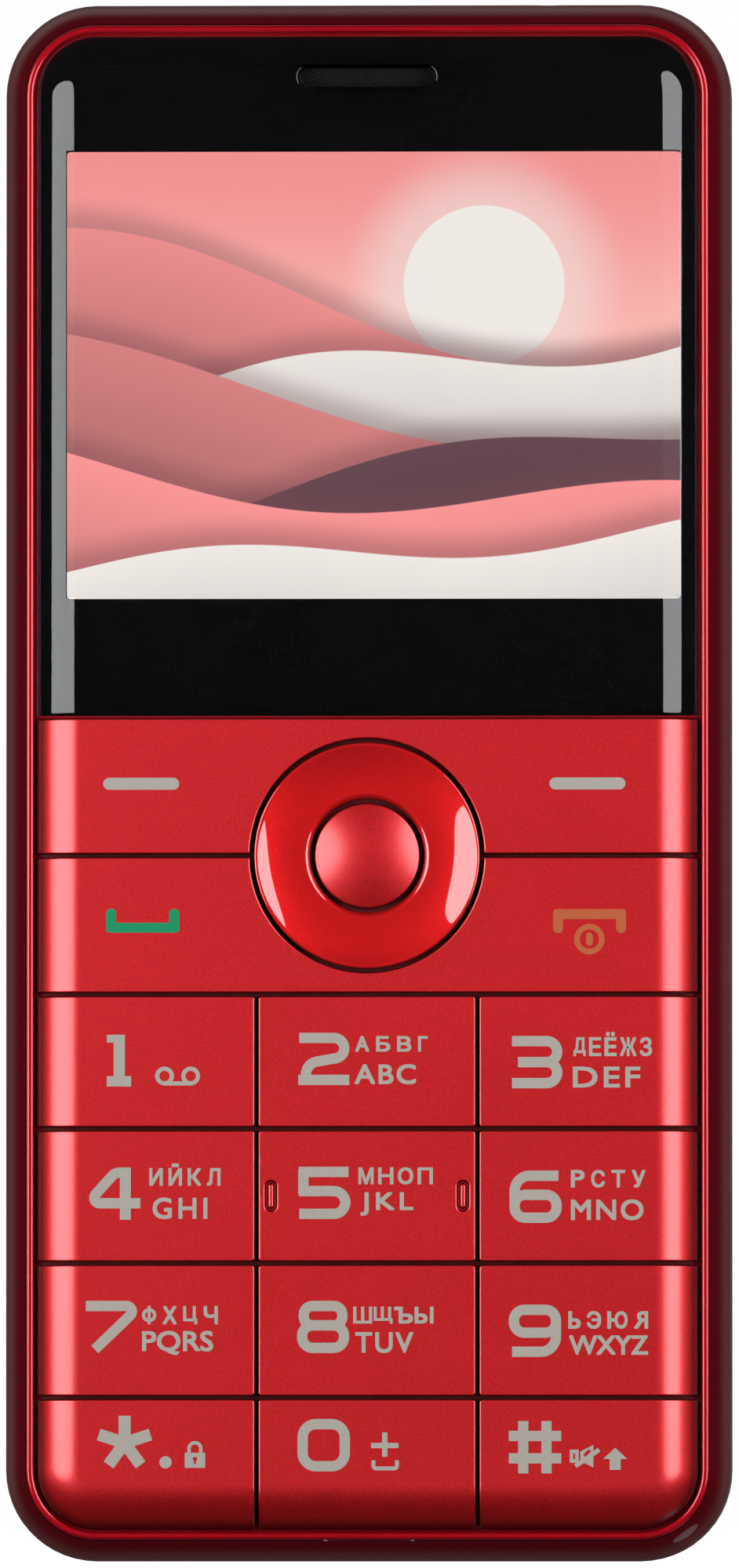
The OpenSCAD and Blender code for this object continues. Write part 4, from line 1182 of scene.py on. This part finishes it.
class PHONE_OT_legends(bpy.types.Operator):
    """Print the figures, letters and signs on the keys"""
    bl_idname = "phone.legends"
    bl_label = "Printed legends"

    # Figure of each number key, with the place of its lower left corner
    FIGURES = {"key_1": ("1", -19.9, 36.35), "key_2": ("2", -5.3, 36.45), "key_3": ("3", 11.0, 36.2),
               "key_4": ("4", -21.5, 26.15), "key_5": ("5", -5.25, 26.2), "key_6": ("6", 10.9, 25.9),
               "key_7": ("7", -21.5, 15.95), "key_8": ("8", -5.35, 15.95), "key_9": ("9", 10.85, 15.65),
               "key_star": ("*", -20.65, 7.1), "key_0": ("0", -5.3, 6.9), "key_hash": ("#", 10.85, 6.75)}

    # Letter rows: text, spacing or gap in parts of a letter, left, lower, right and upper border
    ROWS = {"key_2": [("АБВГ", 0.62, -0.9, 39.0, 4.65, 40.2), ("ABC", 1.15, -0.95, 36.5, 3.75, 38.05)],
            "key_3": [("ДЕЁЖЗ", 0.4, 15.8, 38.65, 21.8, 40.1), ("DEF", 1.15, 15.75, 36.25, 20.9, 37.85)],
            "key_4": [("ИЙКЛ", 0.55, -16.65, 28.75, -11.2, 30.1),
                      ("GHI", 1.25, -16.4, 26.2, -12.2, 27.85)],
            "key_5": [("МНОП", 0.4, -0.65, 28.85, 5.05, 30.15), ("JKL", 1.25, -0.5, 26.45, 3.55, 28.25)],
            "key_6": [("РСТУ", 0.62, 15.6, 28.6, 21.3, 29.95), ("MNO", 1.15, 15.6, 26.1, 21.15, 27.7)],
            "key_7": [("ФХЦЧ", 0.58, -17.2, 18.15, -11.4, 19.55),
                      ("PQRS", 1.0, -17.2, 15.8, -11.75, 17.65)],
            "key_8": [("ШЩЪЫ", 0.15, -1.05, 18.2, 5.1, 19.5), ("TUV", 1.15, -0.9, 15.95, 3.55, 17.55)],
            "key_9": [("ЬЭЮЯ", 0.55, 15.4, 17.8, 21.5, 19.15), ("WXYZ", 1.0, 15.45, 15.8, 21.5, 17.3)]}

    def execute(self, context):
        self.low, self.high = FRONT - PRINT_DEPTH, FRONT + sizes("print_height")
        grey = printed("Legend grey ink", shade("legend_grey"))
        for node, (text, x, y) in self.FIGURES.items():
            strokes = [self.line(x + sx, y + sy, *rest) for sx, sy, *rest in strokes_of(text)]
            self.sign("figure_" + node, grey, node, *strokes)
        for node, rows in self.ROWS.items():
            for index, row in enumerate(rows):
                name = "letters_%s_%d" % (node, index + 1)
                self.sign(name, grey, node, letters(name, *row, self.low, self.high))
        self.signs(grey)
        return {"FINISHED"}

    def sign(self, name, ink, body, *strokes):
        """Prints one sign, which is made of overlapping strokes, on a body."""
        dress(unite(strokes, name), ink, body, "white_plastic", degrees=30, weighted=False)

    def line(self, x, y, heading, width, moves):
        return pen("stroke", x, y, heading, width, moves, self.low, self.high)

    def spot(self, x, y, outer, inner=0):
        """A printed dot or ring."""
        middle = (outer + inner) / 2
        return self.line(x, y - middle, 0, outer - inner, [(360, middle)])

    def slit(self, piece, x, y, heading, width, reach):
        """Cuts a straight slit through a sign."""
        combine(piece, pen("slit", x, y, heading, width, [reach], *THROUGH))

    def signs(self, grey):
        """The signs on the function keys and beside the figures."""
        green = printed("Call green ink", shade("call_green"))
        orange = printed("End orange ink", shade("end_orange"))
        for side, name in ((-17.3, "left"), (16.85, "right")):
            self.sign("sign_soft_" + name, grey, "soft_key_bar", self.line(side - 2.4, 59.52, 0, 0.92, [4.9]),
                      self.spot(side - 2.43, 59.52, 0.46), self.spot(side + 2.47, 59.52, 0.46))
        self.sign("sign_call", green, "call_key_bar", *self.handset(-19.95, 48.12, 1))
        self.sign("sign_end", orange, "call_key_bar", *self.handset(14.24, 49.9, -1))
        self.sign("sign_power_ring", orange, "call_key_bar", self.spot(17.02, 47.6, 1.17, 0.74))
        self.sign("sign_power_bar", orange, "call_key_bar", self.line(17.02, 47.35, 90, 0.52, [0.5]),
                  self.spot(17.02, 47.35, 0.26), self.spot(17.02, 47.85, 0.26))
        self.sign("sign_voicemail", grey, "key_1", self.spot(-15.48, 37.15, 0.72, 0.4),
                  self.spot(-13.48, 37.15, 0.72, 0.4), self.line(-15.5, 36.58, 0, 0.32, [2.04]))
        self.sign("sign_dot", grey, "key_star", self.spot(-15.4, 7.6, 0.47))
        shackle = self.line(-13.6, 8.2, 90, 0.26, [0.45, (-180, 0.45), 0.45])
        lock = unite([self.line(-13.93, 7.75, 0, 1.15, [1.56]), shackle], "lock")
        combine(lock, cylinder(-13.15, 7.85, 0.17, *THROUGH, 20))
        self.slit(lock, -13.15, 7.45, 90, 0.16, 0.4)
        self.sign("sign_lock", grey, "key_star", lock)
        self.sign("sign_plus", grey, "key_0", self.line(0.32, 8.88, 0, 0.4, [2.1]),
                  self.line(1.37, 8.02, 90, 0.4, [1.86]))
        self.sign("sign_space", grey, "key_0",
                  self.line(0.5, 7.75, -90, 0.3, [0.42, (90, 0.2), 1.4, (90, 0.2), 0.42]))
        self.sign("sign_shift", grey, "key_hash", self.line(18.98, 7.02, 90, 0.84, [0.85]),
                  self.wedge(18.98, 7.85, 0.92, 0.86))
        mouth = self.line(15.51, 8.06, 0, 1.0, [0.68])
        self.slit(mouth, 15.85, 7.84, 90, 0.14, 0.44)
        horn = self.cone(16.31, 8.06)
        self.slit(horn, 16.62, 8.06, 48, 0.26, 0.62)
        self.sign("sign_silent", grey, "key_hash", mouth, self.line(15.95, 7.3, 35, 0.34, [2.2]), horn)

    def handset(self, x, y, up):
        """Strokes of a handset's outline: a bar with two short ends, from the bar's outer left corner."""
        w, wide, tall, small = 0.76, 5.58, 1.84, 0.24
        side = 90 * up
        parts = [self.line(x + small, y + up * w / 2, 0, w, [wide - 2 * small])]
        for near, far in ((x + w / 2, x + small), (x + wide - w / 2, x + wide - small)):
            parts += [self.line(near, y + up * small, side, w, [tall - small - w / 2]),
                      self.spot(near, y + up * (tall - w / 2), w / 2), self.spot(far, y + up * small, small)]
        return parts

    def cone(self, x, y):
        """The flared end of a loudspeaker sign."""
        half, reach, flare = 0.36, 1.0, 2.4
        piece = chain("stroke", [(x, y - half, self.low), (x, y + half, self.low)])
        extrude((reach, 0, 0))
        bpy.ops.transform.resize(value=(1, flare, 1), center_override=(x + reach, y, self.low))
        thicken(self.high - self.low)
        return piece

    def wedge(self, x, y, half, height):
        """A printed arrow head that points up the phone."""
        piece = chain("stroke", [(x - half, y, self.low), (x + half, y, self.low)])
        extrude((0, height, 0))
        bpy.ops.mesh.merge(type="CENTER")
        thicken(self.high - self.low)
        return piece


# Shells and what shows at the ends and on the back

class PHONE_OT_shells(bpy.types.Operator):
    """Finish the band, the bead ring, the inner tray and the battery cover, with a groove along its seam"""
    bl_idname = "phone.shells"
    bl_label = "Shells"

    def execute(self, context):
        seam = BODY_LOW.z
        shells = ("battery_cover", "back_cover", "cover"), ("side_frame", "side_band", "chassis")
        for node, name, body in shells:
            piece = copy_of(node, name)
            pick_edges(piece, lambda e, a, b: a.dot(b) < 0.5 and all(
                abs(v.co.z - seam) < TINY and self.outside(v.co) for v in e.verts))
            bpy.ops.mesh.bevel(offset=sizes("seam_groove") / 2, segments=2, affect="EDGES",
                               clamp_overlap=False)
            dress(piece, shell_paint(), body, "gloss_shell", node, degrees=28)
        paint_node("front_housing", bead_paint())
        paint_node("rear_housing", grey_plastic())
        paint_node("housing_screws", stamped("Zinc steel", tint(176, 178, 182), 0.28))
        return {"FINISHED"}

    def outside(self, place):
        """Whether a point lies on the phone's outline."""
        radius = sizes("corner_radius")
        x = max(0, abs(place.x) - (BODY_HIGH.x - radius))
        y = max(0, abs(place.y - BODY_HIGH.y / 2) - (BODY_HIGH.y / 2 - radius))
        return math.hypot(x, y) > radius - 0.02


class PHONE_OT_back_details(bpy.types.Operator):
    """Model the camera's lens, its window's printed ring and the loudspeaker's mesh"""
    bl_idname = "phone.back_details"
    bl_label = "Camera and loudspeaker"

    def execute(self, context):
        low, high = box("camera_window")
        x, y, radius = (low.x + high.x) / 2, (low.y + high.y) / 2, (high.x - low.x) / 2
        paint_node("camera_window", window_glass())
        paint_node("camera_module", black_plastic())
        outer, inner, top, foot = radius - 0.1, radius - 1.5, high.z + 0.06, high.z + 0.02
        section = [(outer, top), (inner, top), (inner, foot), (outer, foot), (outer, top)]
        ring = turned("camera_print", section, x, y, 96)
        dress(ring, black_print(), "cover", "black_print")
        barrel = box("camera_module")[0].z
        front, rear, curve = barrel + 0.6, barrel + 1.35, 2.0
        dome = arc(0, front + curve, curve, -90, -52, 10)
        dome[0] = (0.0, front)
        glass = turned("camera_lens", dome + [(dome[-1][0], rear), (0, rear)], x, y, 64)
        dress(glass, coated_glass(), "chassis", "clear_lens")
        low, high = box("speaker_mesh")
        middle, width = (low + high) / 2, high.x - low.x - 0.1
        weave = sound_mesh("speaker_weave", middle.x, middle.y, width, width, middle.z)
        dress(weave, mesh_finish(), "cover", "mesh", "speaker_mesh", degrees=50, weighted=False)
        paint_node("loudspeaker", black_plastic())
        return {"FINISHED"}


class PHONE_OT_sockets(bpy.types.Operator):
    """Finish the two sockets, with contact strips on the charging socket's tongue"""
    bl_idname = "phone.sockets"
    bl_label = "Sockets"

    def execute(self, context):
        low, high = box("usb_socket")
        pitch, reach, level = 0.65, low.y + 3.0, (low.z + high.z) / 2 - 0.03
        wide, long, thick, rounding = 0.34, 3.4, 0.08, 0.03
        strips = []
        for place in range(-2, 3):
            deselect()
            bpy.ops.mesh.primitive_cube_add(size=1, location=(place * pitch, reach, level))
            strip = bpy.context.object
            strip.scale = (wide, long, thick)
            settle()
            pick(strip, "EDIT")
            bpy.ops.mesh.bevel(offset=rounding, segments=2, affect="EDGES")
            strips.append(strip)
        dress(join(strips, "charging_contacts"), gold_plate(), "chassis", "gold")
        paint_node("usb_socket", tinned_sheet())
        paint_node("audio_jack", black_plastic())
        return {"FINISHED"}


class PHONE_OT_inside(bpy.types.Operator):
    """Finish the pieces inside, which show when the battery cover is off"""
    bl_idname = "phone.inside"
    bl_label = "Inside"

    def execute(self, context):
        rubber = moulded("Silicone rubber", tint(128, 8, 14), 0.6, size=0.25, depth=0.4)
        wrap = moulded("Battery wrap", tint(92, 94, 98), 0.36, size=0.5, depth=0.25, spread=0.06)
        finishes = {tinned_sheet(): ["metal_domes", "shield_can", "sim_holder_left", "sim_holder_right",
                                     "card_holder", "vibration_motor"],
                    gold_plate(): ["battery_contacts", "antenna", "microphone"],
                    rubber: ["keypad_mat", "nav_rubber"], grey_plastic(): ["earpiece_receiver"],
                    wrap: ["battery"], board_finish(): ["main_board"]}
        for material, nodes in finishes.items():
            for node in nodes:
                paint_node(node, material)
        return {"FINISHED"}


# The studio

class PHONE_OT_stage(bpy.types.Operator):
    """Lay the floor, hang the softboxes, light the room and place the camera"""
    bl_idname = "phone.stage"
    bl_label = "Stage"

    # The small softbox low on the right, and the floor, in metres
    LOW_PLACE = Vector((0.243, 0.03, -0.31))
    LOW_AIM = Vector((0, 0, 0.008))
    LOW_SIZE = 0.15
    FLOOR_SIZE = 12

    # Width of the camera's sensor in millimetres
    SENSOR = 36

    def execute(self, context):
        studio = context.scene.studio
        self.floor()
        for name, side in (("left", -1), ("right", 1)):
            self.softbox(studio, name, side)
        turn = (self.LOW_AIM - self.LOW_PLACE).to_track_quat("-Z", "Y").to_euler()
        self.lamp("low_softbox", self.LOW_PLACE, turn, self.LOW_SIZE, self.LOW_SIZE, studio.low_level)
        self.surround(context.scene)
        self.camera(context.scene)
        context.scene.view_settings.view_transform = "Standard"
        return {"FINISHED"}

    def floor(self):
        """A plain pale floor, lifted to white for the camera and clear from below."""
        deselect()
        bpy.ops.mesh.primitive_grid_add(x_subdivisions=8, y_subdivisions=8, size=self.FLOOR_SIZE,
                                        location=(0, 0, CAD_BOX[0].z))
        floor = bpy.context.object
        floor.name = floor.data.name = "floor"
        settle()
        made, tree, shader, place = finish_of("Pale floor")
        grain = placed(tree, grain_effect(), Vector=place, Size=4.0, Depth=0.02)
        tone = blend(tree, grain["Mask"], (0.86, 0.86, 0.86, 1), (0.9, 0.9, 0.9, 1))
        set_all(tree, shader, Base_Color=tone, Roughness=0.8)
        white = node_to(tree, "Emission", {"Color": WHITE, "Strength": 0.72})
        lifted = node_to(tree, "AddShader", {0: shader.outputs[0], 1: white.outputs[0]})
        seen = node_to(tree, "LightPath").outputs["Is Camera Ray"]
        shown = either(tree, seen, shader.outputs[0], lifted.outputs[0])
        below = node_to(tree, "NewGeometry").outputs["Backfacing"]
        both = either(tree, below, shown, node_to(tree, "BsdfTransparent").outputs[0])
        tree.links.new(both, tree.nodes["Material Output"].inputs["Surface"])
        floor.data.materials.append(made)
        floor.visible_glossy = False
        floor.visible_diffuse = False
        floor.visible_shadow = False

    def softbox(self, studio, name, side):
        """A tall softbox that reaches from one angle off the view to another."""
        near, far, low, high = (getattr(studio, name + end) for end in ("_near", "_far", "_low", "_high"))
        reach = studio.softbox_distance
        turn, half = (near + far) / 2, (far - near) / 2
        away = reach * math.cos(half)
        place = (side * away * math.sin(turn), -away * math.cos(turn), (low + high) / 2)
        self.lamp(name + "_softbox", place, (math.pi / 2, 0, side * turn), 2 * reach * math.sin(half),
                  high - low, studio.softbox_level)

    def lamp(self, name, place, turn, width, height, level):
        """An ellipse of light, a little cooler than white, that the camera doesn't see."""
        deselect()
        bpy.ops.object.light_add(type="AREA", location=place)
        lamp = bpy.context.object
        lamp.name = name
        lamp.rotation_euler = turn
        lamp.data.shape = "ELLIPSE"
        lamp.data.size, lamp.data.size_y = width, height
        lamp.data.energy = level * math.pi * width * height
        lamp.data.color = (0.975, 1.0, 1.025)
        lamp.visible_camera = False

    def surround(self, scene):
        """A room that is dim in front of the phone and pale behind it, and white to the camera."""
        studio = scene.studio
        world = bpy.data.worlds.new("Room")
        scene.world = world
        world.use_nodes = True
        tree = world.node_tree
        tree.nodes.clear()
        aim = node_to(tree, "SeparateXYZ", {0: node_to(tree, "TexCoord").outputs["Generated"]})
        path = node_to(tree, "LightPath").outputs
        depth, height = aim.outputs["Y"], aim.outputs["Z"]
        level = span(tree, depth, -0.1, 0.75, studio.surround_front, studio.surround_back)
        beside = calculate(tree, "MULTIPLY", span(tree, depth, 0.0, 0.45),
                           span(tree, depth, 0.5, 0.85, 1.0, 0.2))
        low = span(tree, height, -0.5, -0.05, studio.mirrored_low, studio.mirrored_side)
        high = span(tree, height, 0.05, 0.8, 0.0, studio.mirrored_top - studio.mirrored_side)
        glow = calculate(tree, "ADD", low, high)
        mirrored = times_plus(tree, beside, glow, studio.mirrored_front)
        room, dim, white = (node_to(tree, "Background", {"Color": WHITE, "Strength": strength}).outputs[0]
                            for strength in (level, mirrored, 1.0))
        lit = either(tree, path["Is Glossy Ray"], room, dim)
        direct = calculate(tree, "MAXIMUM", path["Is Camera Ray"], path["Is Transmission Ray"])
        node_to(tree, "OutputWorld", {"Surface": either(tree, direct, lit, white)})

    def camera(self, scene):
        studio = scene.studio
        middle = (CAD_BOX[0].z + CAD_BOX[1].z) / 2
        deselect()
        bpy.ops.object.camera_add()
        camera = bpy.context.object
        aim = Vector((studio.camera_aim, CAD_BOX[0].y, middle + studio.camera_aim_up))
        right, down = studio.camera_right, studio.camera_down
        back = Vector((math.sin(right) * math.cos(down), -math.cos(right) * math.cos(down), -math.sin(down)))
        camera.location = aim + back * studio.camera_distance
        camera.rotation_euler = (-back).to_track_quat("-Z", "Y").to_euler()
        camera.data.sensor_width = self.SENSOR
        camera.data.lens = self.SENSOR * studio.camera_distance / studio.frame_height
        camera.data.clip_start, camera.data.clip_end = 0.05, 50
        scene.camera = camera


class PHONE_PT_panel(bpy.types.Panel):
    """The steps that dress the phone"""
    bl_label = "Bar phone"
    bl_idname = "PHONE_PT_panel"
    bl_space_type = "VIEW_3D"
    bl_region_type = "UI"
    bl_category = "Phone"

    def draw(self, context):
        for step in STEPS:
            self.layout.operator(step.bl_idname)
        for group in (context.scene.phone_sizes, context.scene.phone_colours, context.scene.studio):
            for name in group.bl_rna.properties.keys():
                if name not in ("rna_type", "name"):
                    self.layout.prop(group, name)


STEPS = (PHONE_OT_shells, PHONE_OT_display, PHONE_OT_number_keys, PHONE_OT_key_bars, PHONE_OT_navigation,
         PHONE_OT_legends, PHONE_OT_sockets, PHONE_OT_back_details, PHONE_OT_inside, PHONE_OT_stage)
CLASSES = (PhoneSizes, PhoneColours, StudioSettings, *STEPS, PHONE_PT_panel)


def register():
    for kind in CLASSES:
        bpy.utils.register_class(kind)
    bpy.types.Scene.phone_sizes = bpy.props.PointerProperty(type=PhoneSizes)
    bpy.types.Scene.phone_colours = bpy.props.PointerProperty(type=PhoneColours)
    bpy.types.Scene.studio = bpy.props.PointerProperty(type=StudioSettings)


def unregister():
    del bpy.types.Scene.phone_sizes, bpy.types.Scene.phone_colours, bpy.types.Scene.studio
    for kind in reversed(CLASSES):
        bpy.utils.unregister_class(kind)


def main():
    register()
    for step in STEPS:
        group, name = step.bl_idname.split(".")
        getattr(getattr(bpy.ops, group), name)()
    deselect()


if __name__ == "__main__":
    main()
